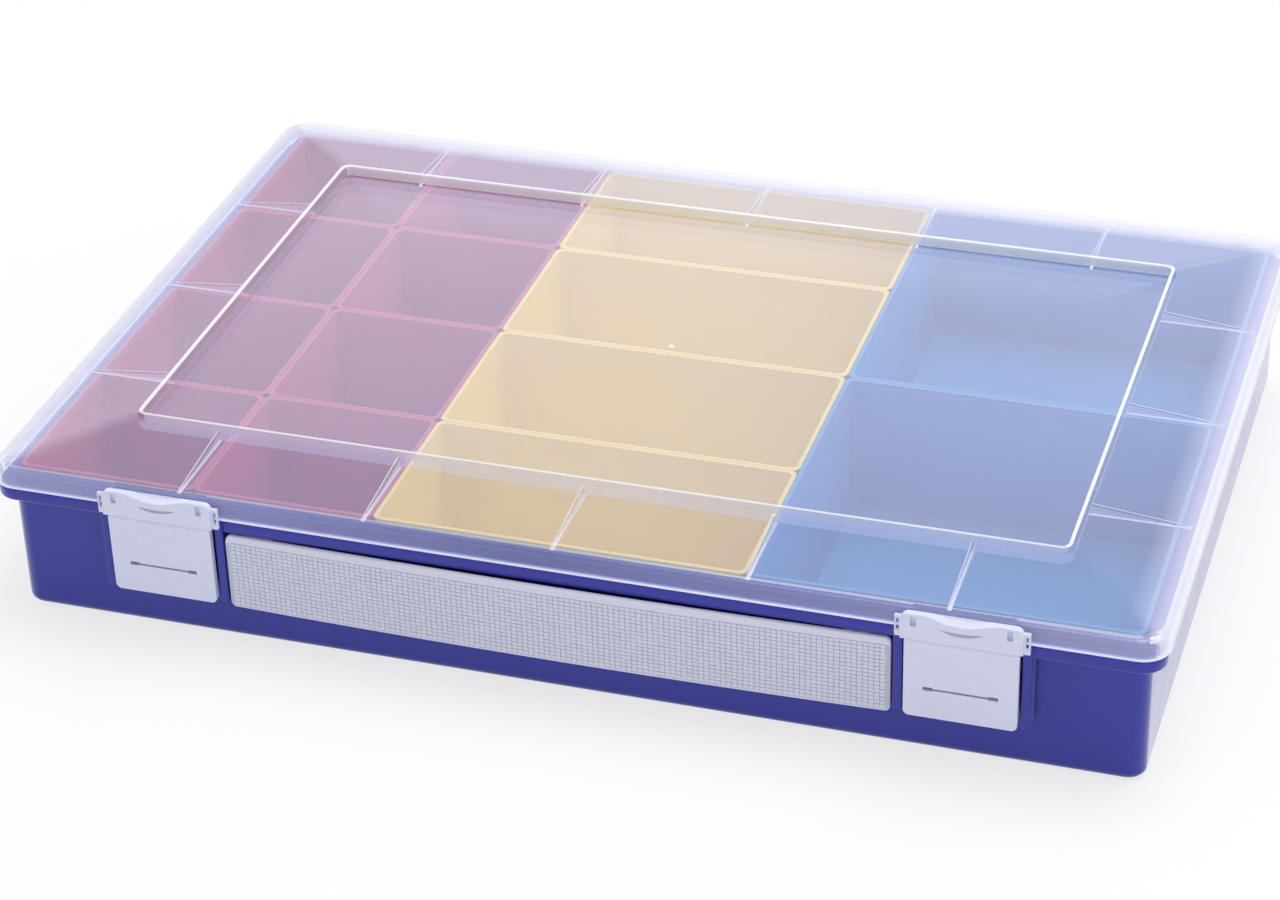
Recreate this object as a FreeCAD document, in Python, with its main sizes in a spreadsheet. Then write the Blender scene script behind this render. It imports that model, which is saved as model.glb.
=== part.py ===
import FreeCAD, Part
import os

# Compartment storage box: a shallow tray with fourteen loose bins, a hinged clear lid,
# two snap latches and a carrying strap. Lengths are in millimetres. X is the width,
# the front faces -Y, Z is up, and the origin is the middle of the footprint.

doc = FreeCAD.newDocument("storage_box")
sheet = doc.addObject("Spreadsheet::Sheet", "dims")

SIZES = {
    # bins
    "bin_pitch": 52.8,
    "bin_gap": 0.4,
    "bin_height": 43.4,
    "bin_wall": 1.2,
    "bin_floor": 1.4,
    "bin_draft": 1.4,
    "bin_corner": 3.0,
    "bin_foot": 1.6,
    # tray
    "tray_wall": 1.8,
    "tray_floor": 1.8,
    "tray_clear": 0.4,
    "tray_corner": 5.0,
    "tray_foot": 2.5,
    "rim_drop": 1.0,
    "hem_inset": 0.8,
    "hem_thick": 1.6,
    "hem_height": 4.0,
    "shelf_thick": 1.8,
    # lid
    "lid_overhang": 4.8,
    "lid_wall": 1.6,
    "lid_corner": 8.0,
    "lid_round": 3.5,
    "lid_gap": 0.3,
    "skirt_height": 6.3,
    "head_gap": 0.4,
    "recess_depth": 3.3,
    "recess_corner": 2.0,
    "crest_rise": 2.9,
    "crest_ridge": 0.8,
    "band_side": 32.0,
    "band_front": 33.3,
    "rib_thick": 1.2,
    "rib_spread": 1.2,
    "gate_radius": 1.1,
    "gate_rise": 0.4,
    # latches
    "latch_x": 112.6,
    "clip_half": 16.2,
    "clip_thick": 2.1,
    "clip_drop": 0.6,
    "clip_height": 7.9,
    "clip_corner": 2.2,
    "ear_width": 1.7,
    "ear_depth": 1.2,
    "ear_height": 6.4,
    "ear_window_width": 0.7,
    "ear_window_height": 3.6,
    "tongue_half": 9.6,
    "tongue_bulge": 1.5,
    "tongue_height": 2.9,
    "scoop_half": 7.4,
    "scoop_depth": 0.9,
    "lens_half": 6.6,
    "lens_height": 2.0,
    "lens_depth": 1.2,
    "clip_slot_x": 12.7,
    "clip_slot_width": 1.5,
    "clip_slot_height": 2.9,
    "clip_slot_rise": 4.2,
    "tab_half": 13.8,
    "tab_depth": 3.2,
    "tab_height": 2.6,
    "tab_drop": 0.25,
    "flap_half": 15.2,
    "flap_thick": 1.8,
    "flap_length": 23.3,
    "flap_corner": 1.6,
    "flap_gap": 0.3,
    "bead_radius": 0.85,
    "bead_gap": 0.35,
    "slit_half": 10.0,
    "slit_height": 0.6,
    "slit_rise": 8.8,
    "slit_end": 2.6,
    "slit_end_height": 1.1,
    "hook_half": 7.5,
    "hook_height": 1.3,
    "hook_grip": 0.8,
    "hook_gap": 0.3,
    "catch_reach": 2.6,
    "catch_height": 2.4,
    "post_width": 2.6,
    "post_gap": 0.6,
    "post_ease": 1.8,
    # carrying strap
    "strap_gap": 0.6,
    "strap_height": 23.4,
    "strap_thick": 2.0,
    "strap_bow": 1.6,
    "strap_corner": 1.6,
    "strap_drop": 0.25,
    "strap_clear": 0.4,
    "seat_depth": 2.3,
    "seat_length": 22.0,
    "seat_inset": 0.8,
    "lug_inset": 8.9,
    "lug_half": 4.1,
    "lug_height": 12.0,
    "lug_reach": 1.9,
    "lug_clear": 0.4,
    # rear hinge
    "hinge_ear_radius": 2.2,
    "hinge_ear_thick": 3.0,
    "hinge_ear_foot": 3.0,
    "knuckle_radius": 1.9,
    "knuckle_half": 9.0,
    "axle_radius": 1.2,
    "axle_clear": 0.05,
    "hinge_gap": 0.3,
    "axis_rise": 0.1,
}
COLUMNS = 6
ROWS = 4
# a tool that only has to pass right through a wall overshoots it by this much
OVERSHOOT = 1.0


class Size:
    """A length that keeps the sheet expression it was worked out from."""

    def __init__(self, value, text):
        self.value = float(value)
        self.text = text

    def __add__(self, other):
        other = as_size(other)
        return Size(self.value + other.value, f"({self.text} + {other.text})")

    def __radd__(self, other):
        return as_size(other) + self

    def __sub__(self, other):
        other = as_size(other)
        return Size(self.value - other.value, f"({self.text} - {other.text})")

    def __rsub__(self, other):
        return as_size(other) - self

    def __mul__(self, other):
        other = as_size(other)
        return Size(self.value * other.value, f"({self.text} * {other.text})")

    def __rmul__(self, other):
        return as_size(other) * self

    def __truediv__(self, other):
        other = as_size(other)
        return Size(self.value / other.value, f"({self.text} / {other.text})")

    def __neg__(self):
        return 0 - self


def as_size(value):
    """Wrap a plain number, so that it can stand in a formula."""
    return value if isinstance(value, Size) else Size(value, repr(float(value)))


class Dimensions:
    """The sheet's cells as lengths, one attribute for each alias."""

    def __init__(self, sizes):
        for row, (alias, value) in enumerate(sizes.items(), start=1):
            sheet.set(f"A{row}", alias)
            sheet.set(f"B{row}", str(value))
            sheet.setAlias(f"B{row}", alias)
            setattr(self, alias, Size(value, f"dims.{alias}"))
        sheet.recompute()


d = Dimensions(SIZES)


def bind(thing, paths):
    """Bind properties of a document object to lengths."""
    for path, size in paths.items():
        thing.setExpression(path, as_size(size).text)


def box(name, x, y, z):
    """A block between two corners, each span given as (low, high)."""
    block = doc.addObject("Part::Box", name)
    spans = {"Length": x, "Width": y, "Height": z}
    for prop, (low, high) in spans.items():
        bind(block, {prop: as_size(high) - low})
    for axis, (low, high) in zip("xyz", (x, y, z)):
        bind(block, {f"Placement.Base.{axis}": low})
    block.recompute()
    return block


TURN = {
    "x": FreeCAD.Rotation(FreeCAD.Vector(0, 1, 0), 90),
    "y": FreeCAD.Rotation(FreeCAD.Vector(1, 0, 0), 90),
    "z": FreeCAD.Rotation(),
}


def cylinder(name, axis, start, radius, length):
    """A round bar from a start point. Bars along y run towards the front."""
    bar = doc.addObject("Part::Cylinder", name)
    bar.Placement.Rotation = TURN[axis]
    bind(bar, {"Radius": radius, "Height": length})
    bind(bar, {f"Placement.Base.{word}": value for word, value in zip("xyz", start)})
    bar.recompute()
    return bar


def frustum(name, low, high):
    """A block with a smaller or larger top: (half width, half depth, height) of both ends."""
    wedge = doc.addObject("Part::Wedge", name)
    wedge.Placement.Rotation = TURN["y"]
    low = [as_size(size) for size in low]
    high = [as_size(size) for size in high]
    bind(wedge, {"Ymin": low[2], "Ymax": high[2]})
    bind(wedge, {"Xmin": -low[0], "Xmax": low[0], "Zmin": -low[1], "Zmax": low[1]})
    bind(wedge, {"X2min": -high[0], "X2max": high[0], "Z2min": -high[1], "Z2max": high[1]})
    wedge.recompute()
    return wedge


def combine(kind, name, base, tool):
    """A cut or an intersection of two objects."""
    result = doc.addObject(kind, name)
    result.Base = base
    result.Tool = tool
    result.recompute()
    return result


def cut(name, base, *tools):
    """The base without the tools."""
    tool = tools[0] if len(tools) == 1 else join(name + "_tools", *tools)
    return combine("Part::Cut", name, base, tool)


def common(name, base, tool):
    """What the base and the tool share."""
    return combine("Part::Common", name, base, tool)


def join(name, *pieces):
    """All the pieces as one."""
    result = doc.addObject("Part::MultiFuse", name)
    result.Shapes = list(pieces)
    result.Refine = True
    result.recompute()
    return result


def ease(kind, name, base, radius, chosen):
    """Round or chamfer the edges that the test chooses."""
    result = doc.addObject(kind, name)
    result.Base = base
    reach = as_size(radius).value
    numbered = enumerate(base.Shape.Edges, start=1)
    result.Edges = [(number, reach, reach) for number, edge in numbered if chosen(edge)]
    result.recompute()
    return result


NEAR = 1e-4


def level(height):
    """Chooses edges that lie flat at a height."""
    place = as_size(height).value

    def lies_there(edge):
        span = edge.BoundBox
        return span.ZLength < NEAR and abs(span.ZMin - place) < NEAR

    return lies_there


def rising(edge):
    """Chooses edges that run up the corners of a block or frustum."""
    return edge.BoundBox.ZLength > NEAR


def along_y(edge):
    """Chooses edges that run from front to back."""
    span = edge.BoundBox
    return span.YLength > NEAR and span.XLength < NEAR and span.ZLength < NEAR


def rounded_block(name, half_x, half_y, z, radius):
    """A block about the Z axis with rounded upright corners."""
    plain = box(name + "_plain", (-half_x, half_x), (-half_y, half_y), z)
    return ease("Part::Fillet", name, plain, radius, rising)


def shifted(name, base, x, y, z):
    """A finished piece set in its place."""
    base.Label = name
    bind(base, {"Placement.Base.x": x, "Placement.Base.y": y, "Placement.Base.z": z})
    base.recompute()
    return base


# Levels and half sizes that several pieces share.
tray_half_x = d.bin_pitch * (COLUMNS / 2) + d.tray_clear + d.tray_wall
tray_half_y = d.bin_pitch * (ROWS / 2) + d.tray_clear + d.tray_wall
lid_half_x = tray_half_x + d.lid_overhang
lid_half_y = tray_half_y + d.lid_overhang
hem_half_x = lid_half_x - d.hem_inset
hem_half_y = lid_half_y - d.hem_inset
bin_top = d.tray_floor + d.bin_height
rim_top = bin_top - d.rim_drop
panel_low = bin_top + d.head_gap
panel_top = panel_low + d.lid_wall
crest_top = panel_top + d.recess_depth
lid_edge = crest_top - d.crest_rise
skirt_low = lid_edge - d.skirt_height
shelf_top = skirt_low - d.lid_gap
hem_low = shelf_top - d.hem_height
shelf_low = shelf_top - d.shelf_thick
clip_front = lid_half_y + d.clip_thick
front_reach = clip_front + d.tongue_bulge
clip_top = lid_edge - d.clip_drop
clip_low = clip_top - d.clip_height
bead_z = clip_low - d.bead_gap - d.bead_radius
flap_back = hem_half_y + d.flap_gap
flap_front = flap_back + d.flap_thick
bead_y = flap_back + d.flap_thick / 2
flap_low = bead_z - d.flap_length
slit_low = flap_low + d.slit_rise
catch_low = slit_low
catch_front = tray_half_y + d.catch_reach
hook_top = catch_low - d.hook_gap
post_in = d.latch_x - d.flap_half - d.post_gap - d.post_width
post_out = d.latch_x + d.flap_half + d.post_gap
strap_half = post_in - d.strap_gap
strap_top = hem_low - d.strap_drop
strap_low = strap_top - d.strap_height
seat_front = tray_half_y + d.seat_depth
strap_back = seat_front + d.strap_clear
seat_in = post_in - d.seat_length
lug_x = strap_half - d.lug_inset
lug_low = strap_top - d.lug_height
hinge_y = hem_half_y + d.hinge_gap + d.knuckle_radius
hinge_z = shelf_top + d.axis_rise
ear_start = d.knuckle_half + d.hinge_gap


def make_bin(label, columns, rows, column, row):
    """A drafted bin with round corners that fills columns x rows cells of the grid."""
    half_x = d.bin_pitch * (columns / 2) - d.bin_gap / 2
    half_y = d.bin_pitch * (rows / 2) - d.bin_gap / 2
    foot_x = half_x - d.bin_draft
    foot_y = half_y - d.bin_draft
    body = frustum(label + "_body", (foot_x, foot_y, 0), (half_x, half_y, d.bin_height))
    body = ease("Part::Fillet", label + "_corners", body, d.bin_corner, rising)
    body = ease("Part::Fillet", label + "_foot", body, d.bin_foot, level(0))
    wall = d.bin_wall
    hollow = frustum(
        label + "_hollow",
        (foot_x - wall, foot_y - wall, d.bin_floor),
        (half_x - wall, half_y - wall, d.bin_height),
    )
    hollow = ease("Part::Fillet", label + "_hollow_corners", hollow, d.bin_corner - wall, rising)
    hollow = ease("Part::Fillet", label + "_hollow_foot", hollow, d.bin_foot, level(d.bin_floor))
    whole = cut(label, body, hollow)
    middle_x = d.bin_pitch * (column + columns / 2 - COLUMNS / 2)
    middle_y = d.bin_pitch * (row + rows / 2 - ROWS / 2)
    return shifted(label, whole, middle_x, middle_y, d.tray_floor)


def mirrored_boxes(name, x, y, z):
    """The same block on the right and on the left."""
    right = box(name + "_right", x, y, z)
    left = box(name + "_left", (-x[1], -x[0]), y, z)
    return [right, left]


def tray_shell():
    """Walls, floor, rim, and the hem that the lid's skirt stands over."""
    block = rounded_block("tray_block", tray_half_x, tray_half_y, (0, rim_top), d.tray_corner)
    block = ease("Part::Fillet", "tray_bottom", block, d.tray_foot, level(0))
    hem_corner = d.lid_corner - d.hem_inset
    hem = rounded_block("hem_block", hem_half_x, hem_half_y, (hem_low, shelf_top), hem_corner)
    channel = rounded_block(
        "hem_channel",
        hem_half_x - d.hem_thick,
        hem_half_y - d.hem_thick,
        (hem_low - OVERSHOOT, shelf_low),
        hem_corner - d.hem_thick,
    )
    hem = cut("hem", hem, channel)
    room = rounded_block(
        "tray_room",
        tray_half_x - d.tray_wall,
        tray_half_y - d.tray_wall,
        (d.tray_floor, rim_top + OVERSHOOT),
        d.tray_corner - d.tray_wall,
    )
    room = ease("Part::Fillet", "tray_room_bottom", room, d.tray_wall, level(d.tray_floor))
    return cut("tray_shell", join("tray_walls", block, hem), room)


def latch_posts():
    """Upright ribs beside both latches, eased at the foot, and the catches between them."""
    root = -tray_half_y + d.tray_wall / 2
    face = -lid_half_y
    height = (flap_low, shelf_low + d.shelf_thick / 2)

    def foot_edge(edge):
        span = edge.BoundBox
        return abs(span.YMax - face.value) < NEAR and abs(span.ZMax - flap_low.value) < NEAR

    pieces = []
    for place, start in (("inner", post_in), ("outer", post_out)):
        span = (start, start + d.post_width)
        for post in mirrored_boxes(place + "_post", span, (face, root), height):
            pieces.append(ease("Part::Chamfer", post.Name + "_eased", post, d.post_ease, foot_edge))
    catch_span = (d.latch_x - d.hook_half, d.latch_x + d.hook_half)
    catch_y = (-catch_front, root)
    pieces += mirrored_boxes("catch", catch_span, catch_y, (catch_low, catch_low + d.catch_height))
    return pieces


def strap_seats():
    """Blocks behind the strap's ends, each with a pocket, open at the top, for the strap's lug."""
    root = -tray_half_y + d.tray_wall / 2
    inset = d.seat_inset
    seats = mirrored_boxes(
        "seat",
        (seat_in, post_in + d.post_width / 2),
        (-seat_front, root),
        (strap_low + inset, strap_top - inset),
    )
    ribs = mirrored_boxes(
        "seat_rib",
        (seat_in, seat_in + d.post_width / 2),
        (-seat_front, root),
        (strap_top - inset - d.post_ease, shelf_low + d.shelf_thick / 2),
    )
    side = d.lug_half + d.lug_clear
    pockets = mirrored_boxes(
        "pocket",
        (lug_x - side, lug_x + side),
        (-seat_front - OVERSHOOT, -tray_half_y),
        (lug_low - d.lug_clear, strap_top),
    )
    return [cut("strap_seats", join("seat_blocks", *seats, *ribs), *pockets)]


def hinge_ears():
    """Ears with bores at the back, two for each knuckle of the lid."""
    ears = []
    for side, middle in (("right", d.latch_x), ("left", -d.latch_x)):
        for end, sign in (("outer", 1), ("inner", -1)):
            name = f"hinge_ear_{side}_{end}"
            first = middle + ear_start * sign
            thick = d.hinge_ear_thick
            low = first if sign > 0 else first - thick
            disc = cylinder(name + "_disc", "x", (low, hinge_y, hinge_z), d.hinge_ear_radius, thick)
            foot = box(
                name + "_foot",
                (low, low + thick),
                (hem_half_y - d.hem_thick / 2, hinge_y),
                (shelf_top - d.hinge_ear_foot, shelf_top),
            )
            bore_start = (low - OVERSHOOT, hinge_y, hinge_z)
            bore_radius = d.axle_radius + d.axle_clear
            bore = cylinder(name + "_bore", "x", bore_start, bore_radius, thick + 2 * OVERSHOOT)
            ears.append(cut(name, join(name + "_blank", disc, foot), bore))
    return ears


def make_tray():
    """The tray with all that is moulded on it."""
    tray = join("base_tray", tray_shell(), *latch_posts(), *strap_seats(), *hinge_ears())
    tray.Label = "base_tray"
    return tray


def hipped_cap(name, half_x, half_y, low, edge, corner, rounding):
    """Upright skirt with a rounded top edge, and a hipped band that rises to the crest."""
    skirt = rounded_block(name + "_skirt", half_x, half_y, (low, edge), corner)
    skirt = ease("Part::Fillet", name + "_shoulder", skirt, rounding, level(edge))
    inner_x = half_x - rounding
    inner_y = half_y - rounding
    crest_x = lid_half_x - d.band_side
    crest_y = lid_half_y - d.band_front
    crest = edge + d.crest_rise
    band = frustum(name + "_band", (inner_x, inner_y, edge), (crest_x, crest_y, crest))
    plan = rounded_block(name + "_plan", inner_x, inner_y, (edge, crest), corner - rounding)
    return join(name, skirt, common(name + "_roof", band, plan))


def lid_ribs():
    """Thin ribs on the lines between the bins, under the band."""
    pitch = d.bin_pitch + d.rib_spread
    height = (panel_low, crest_top)
    thick = d.rib_thick / 2
    ribs = []
    for line in range(1, COLUMNS):
        place = pitch * (line - COLUMNS / 2)
        span = (place - thick, place + thick)
        ribs.append(box(f"rib_across_{line}", span, (-lid_half_y, lid_half_y), height))
    for line in range(1, ROWS):
        place = pitch * (line - ROWS / 2)
        span = (place - thick, place + thick)
        ribs.append(box(f"rib_along_{line}", (-lid_half_x, lid_half_x), span, height))
    return join("ribs", *ribs)


def lid_shell():
    """Skirt, band, ribs and the sunk centre panel."""
    outer = hipped_cap(
        "lid_outer",
        lid_half_x,
        lid_half_y,
        skirt_low,
        lid_edge,
        d.lid_corner,
        d.lid_round,
    )
    wall = d.lid_wall
    inner = hipped_cap(
        "lid_inner",
        lid_half_x - wall,
        lid_half_y - wall,
        skirt_low - OVERSHOOT,
        lid_edge - wall,
        d.lid_corner - wall,
        d.lid_round - wall,
    )
    shell = cut("lid_sheet", outer, cut("lid_inner_ribbed", inner, lid_ribs()))
    recess_x = lid_half_x - d.band_side - d.crest_ridge
    recess_y = lid_half_y - d.band_front - d.crest_ridge
    through = (panel_low - OVERSHOOT, crest_top + OVERSHOOT)
    window = rounded_block("lid_window", recess_x, recess_y, through, d.recess_corner)
    pan = rounded_block(
        "lid_pan",
        recess_x + wall,
        recess_y + wall,
        (panel_low, crest_top - wall / 2),
        d.recess_corner + wall,
    )
    well = rounded_block("lid_well", recess_x, recess_y, (panel_top, crest_top), d.recess_corner)
    gate_start = (0, 0, panel_top - wall / 2)
    gate = cylinder("lid_gate", "z", gate_start, d.gate_radius, wall / 2 + d.gate_rise)
    return join("lid_shell", cut("lid_frame", shell, window), cut("lid_panel", pan, well), gate)


def lid_tabs():
    """Square ledges on the front edge, behind the latch clips."""
    top = lid_edge - d.tab_drop
    x = (d.latch_x - d.tab_half, d.latch_x + d.tab_half)
    y = (-lid_half_y, -lid_half_y + d.tab_depth)
    return mirrored_boxes("lid_tab", x, y, (top - d.tab_height, top))


def lid_knuckles():
    """Hinge knuckles with stub axles on the back of the skirt."""
    pieces = []
    for side, middle in (("right", d.latch_x), ("left", -d.latch_x)):
        low = middle - d.knuckle_half
        high = middle + d.knuckle_half
        length = 2 * d.knuckle_half
        barrel = cylinder("knuckle_" + side, "x", (low, hinge_y, hinge_z), d.knuckle_radius, length)
        web = box(
            "knuckle_web_" + side,
            (low, high),
            (lid_half_y - d.lid_wall / 2, hinge_y),
            (skirt_low, hinge_z + d.knuckle_radius),
        )
        reach = d.hinge_ear_thick
        axle_start = (low - reach, hinge_y, hinge_z)
        axle = cylinder("axle_" + side, "x", axle_start, d.axle_radius, length + 2 * reach)
        pieces += [barrel, web, axle]
    return pieces


def ear_notches():
    """Notches in the back of the skirt that the tray's hinge ears stand in."""
    notches = []
    start = d.knuckle_half
    end = ear_start + d.hinge_ear_thick + d.hinge_gap
    y = (lid_half_y - d.lid_wall - OVERSHOOT, lid_half_y + OVERSHOOT)
    z = (skirt_low - OVERSHOOT, hinge_z + d.hinge_ear_radius + d.hinge_gap)
    for place, low, high in (("outer", start, end), ("inner", -end, -start)):
        span = (d.latch_x + low, d.latch_x + high)
        notches += mirrored_boxes("ear_notch_" + place, span, y, z)
    return notches


def make_lid():
    """The lid with its ledges, hinge knuckles and notches."""
    skirted = cut("lid_notched", join("lid_tabbed", lid_shell(), *lid_tabs()), *ear_notches())
    lid = join("lid", skirted, *lid_knuckles())
    lid.Label = "lid"
    return lid


def arc_radius(half, rise):
    """Radius of the arc over a chord."""
    return (half * half + rise * rise) / (2 * rise)


def make_clip(label, middle):
    """The fixed half of a latch: a rounded cap with a finger tongue and two ears."""
    front = -clip_front
    back = -lid_half_y
    half = d.clip_half
    plate = box(label + "_plate", (-half, half), (front, back), (clip_low, clip_top))

    def top_corner(edge):
        return along_y(edge) and edge.BoundBox.ZMin > clip_top.value - NEAR

    plate = ease("Part::Fillet", label + "_cap", plate, d.clip_corner, top_corner)
    rim = half + d.ear_width
    ear_z = (clip_low, clip_low + d.ear_height)
    ears = box(label + "_ears", (-rim, rim), (back - d.ear_depth, back), ear_z)
    tongue_low = clip_top - d.tongue_height
    bend = arc_radius(d.tongue_half, d.tongue_bulge)
    bulge = common(
        label + "_tongue",
        cylinder(label + "_bend", "z", (0, -front_reach + bend, tongue_low), bend, d.tongue_height),
        box(
            label + "_bulge",
            (-d.tongue_half, d.tongue_half),
            (-front_reach, back),
            (tongue_low, clip_top),
        ),
    )
    dip = arc_radius(d.scoop_half, d.scoop_depth)
    scoop_start = (0, back + OVERSHOOT, clip_top - d.scoop_depth + dip)
    scoop_length = d.clip_thick + d.tongue_bulge + 2 * OVERSHOOT
    scoop = cylinder(label + "_scoop", "y", scoop_start, dip, scoop_length)
    hollow = arc_radius(d.lens_half, d.lens_height)
    lens = common(
        label + "_lens",
        cylinder(
            label + "_lens_round",
            "y",
            (0, front + d.lens_depth, tongue_low - d.lens_height + hollow),
            hollow,
            d.lens_depth + OVERSHOOT,
        ),
        box(
            label + "_lens_zone",
            (-d.lens_half, d.lens_half),
            (front - OVERSHOOT, front + d.lens_depth),
            (tongue_low - d.lens_height, tongue_low),
        ),
    )
    openings = [scoop, lens]
    through = (front - OVERSHOOT, back + OVERSHOOT)
    for side, sign in (("right", 1), ("left", -1)):
        slot = d.clip_slot_x * sign
        window = (half + d.ear_width / 2) * sign
        openings.append(
            box(
                f"{label}_slot_{side}",
                (slot - d.clip_slot_width / 2, slot + d.clip_slot_width / 2),
                (front - OVERSHOOT, front + d.clip_thick / 2),
                (clip_low + d.clip_slot_rise, clip_low + d.clip_slot_rise + d.clip_slot_height),
            )
        )
        openings.append(
            box(
                f"{label}_window_{side}",
                (window - d.ear_window_width / 2, window + d.ear_window_width / 2),
                through,
                (clip_low + d.ear_width, clip_low + d.ear_width + d.ear_window_height),
            )
        )
    clip = cut(label, join(label + "_blank", plate, ears, bulge), *openings)
    return shifted(label, clip, middle, 0, 0)


def make_flap(label, middle):
    """The moving half of a latch: a plate under a round bead, with a slit and a hook behind."""
    half = d.flap_half
    plate = box(label + "_plate", (-half, half), (-flap_front, -flap_back), (flap_low, bead_z))

    def low_corner(edge):
        return along_y(edge) and edge.BoundBox.ZMax < flap_low.value + NEAR

    plate = ease("Part::Fillet", label + "_cornered", plate, d.flap_corner, low_corner)
    bead = cylinder(label + "_bead", "x", (-half, -bead_y, bead_z), d.bead_radius, 2 * half)
    hook = box(
        label + "_hook",
        (-d.hook_half, d.hook_half),
        (-flap_back - d.flap_thick / 2, -catch_front + d.hook_grip),
        (hook_top - d.hook_height, hook_top),
    )
    through = (-flap_front - OVERSHOOT, -flap_back + OVERSHOOT)
    slit_z = (slit_low, slit_low + d.slit_height)
    slit = [box(label + "_slit", (-d.slit_half, d.slit_half), through, slit_z)]
    end_x = (d.slit_half - d.slit_end, d.slit_half)
    rise = (d.slit_end_height - d.slit_height) / 2
    end_z = (slit_low - rise, slit_low + d.slit_height + rise)
    slit += mirrored_boxes(label + "_slit_end", end_x, through, end_z)
    flap = cut(label, join(label + "_blank", plate, bead, hook), *slit)
    return shifted(label, flap, middle, 0, 0)


def make_strap(label):
    """A flat strap, bowed out in the middle, with a lug behind each end."""
    bow = d.strap_bow
    outer = arc_radius(strap_half, bow)
    middle_front = strap_back + d.strap_thick + bow
    centre = -middle_front + outer
    z = (strap_low, strap_top)
    inner = outer - d.strap_thick
    height = d.strap_height
    disc = cylinder("strap_outer", "z", (0, centre, strap_low), outer, height)
    core_start = (0, centre, strap_low - OVERSHOOT)
    core = cylinder("strap_inner", "z", core_start, inner, height + 2 * OVERSHOOT)
    span = box("strap_span", (-strap_half, strap_half), (-middle_front, -tray_half_y), z)
    band = common("strap_band", cut("strap_ring", disc, core), span)

    def end_edge(edge):
        across = edge.BoundBox
        at_end = across.XLength < NEAR and abs(abs(across.XMin) - strap_half.value) < NEAR
        return at_end and across.ZLength < NEAR

    band = ease("Part::Fillet", "strap_rounded", band, d.strap_corner, end_edge)
    lugs = mirrored_boxes(
        "lug",
        (lug_x - d.lug_half, lug_x + d.lug_half),
        (-strap_back - d.strap_thick / 2, -strap_back + d.lug_reach),
        (lug_low, strap_top),
    )
    strap = join(label, band, *lugs)
    strap.Label = label
    return strap


parts = [make_tray(), make_lid()]
for column in range(2):
    for row in range(ROWS):
        parts.append(make_bin(f"red_bin_{column * ROWS + row + 1}", 1, 1, column, row))
for row in range(ROWS):
    parts.append(make_bin(f"yellow_bin_{row + 1}", 2, 1, 2, row))
for row in range(0, ROWS, 2):
    parts.append(make_bin(f"blue_bin_{row // 2 + 1}", 2, 2, 4, row))
for side, place in (("left", -d.latch_x), ("right", d.latch_x)):
    parts.append(make_clip("latch_clip_" + side, place))
    parts.append(make_flap("latch_flap_" + side, place))
parts.append(make_strap("carry_strap"))

doc.recompute()

for thing in doc.Objects:
    if "Invalid" in thing.State or "Error" in thing.State:
        raise RuntimeError(f"{thing.Name} did not build: {thing.State}")
for part in parts:
    if part.Shape.isNull() or not part.Shape.isValid() or len(part.Shape.Solids) != 1:
        raise RuntimeError(f"{part.Label} is not one sound solid")

os.makedirs("parts", exist_ok=True)
for part in parts:
    part.Shape.exportStep(f"parts/{part.Label}.step")
    span = part.Shape.BoundBox
    lengths = [round(length, 1) for length in (span.XLength, span.YLength, span.ZLength)]
    print(part.Label, round(part.Shape.Volume, 1), lengths)
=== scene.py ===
# %% [markdown]
# # A compartment storage box
# The object is a shallow blue tray full of loose red, yellow and blue bins, under a hinged
# lid of hazy clear plastic. Two white snap latches and a grey carrying strap are on its front.
# The construction comes in as a frame of plain solids, and this lesson dresses it:
# each moulding gets its rounded edges and wall sections, and a finish of its own.

# %% Load the frame
import math

import bmesh
import bpy
from mathutils import Matrix, Quaternion, Vector


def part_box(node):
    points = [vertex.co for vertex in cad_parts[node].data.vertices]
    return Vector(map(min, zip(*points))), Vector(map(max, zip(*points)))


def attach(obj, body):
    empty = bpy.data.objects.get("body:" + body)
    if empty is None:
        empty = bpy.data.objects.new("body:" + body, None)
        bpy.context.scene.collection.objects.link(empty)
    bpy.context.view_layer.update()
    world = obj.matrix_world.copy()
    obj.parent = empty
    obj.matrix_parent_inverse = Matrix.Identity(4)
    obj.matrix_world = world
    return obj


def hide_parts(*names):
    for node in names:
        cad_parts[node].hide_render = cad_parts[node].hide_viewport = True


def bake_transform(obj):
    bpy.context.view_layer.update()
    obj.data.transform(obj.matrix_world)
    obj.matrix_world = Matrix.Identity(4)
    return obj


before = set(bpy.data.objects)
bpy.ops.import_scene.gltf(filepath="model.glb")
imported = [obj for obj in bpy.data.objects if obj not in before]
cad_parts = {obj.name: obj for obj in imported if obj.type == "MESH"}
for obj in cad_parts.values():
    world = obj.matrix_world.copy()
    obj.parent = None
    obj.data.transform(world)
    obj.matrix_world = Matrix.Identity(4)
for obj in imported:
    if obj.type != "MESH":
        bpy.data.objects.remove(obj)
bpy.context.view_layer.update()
scene = bpy.context.scene
MM = 0.001

# %% [markdown]
# ## Camera
# The picture is taken from the right of the front, about 32 degrees above the table, with a
# long lens, so that far edges hardly shrink. A camera could be aimed with a constraint, but a
# direction and a small roll say the same in three angles, and they don't change later.

# %% Camera
CAMERA_PLACE = Vector((263.84, -826.46, 549.17)) * MM
CAMERA_AZIMUTH = math.radians(18.364)
CAMERA_ELEVATION = math.radians(31.751)
CAMERA_ROLL = math.radians(1.774)
CAMERA_LENS = 96.81
SENSOR_WIDTH = 36.0
FAR_LIMIT = 20.0

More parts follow.
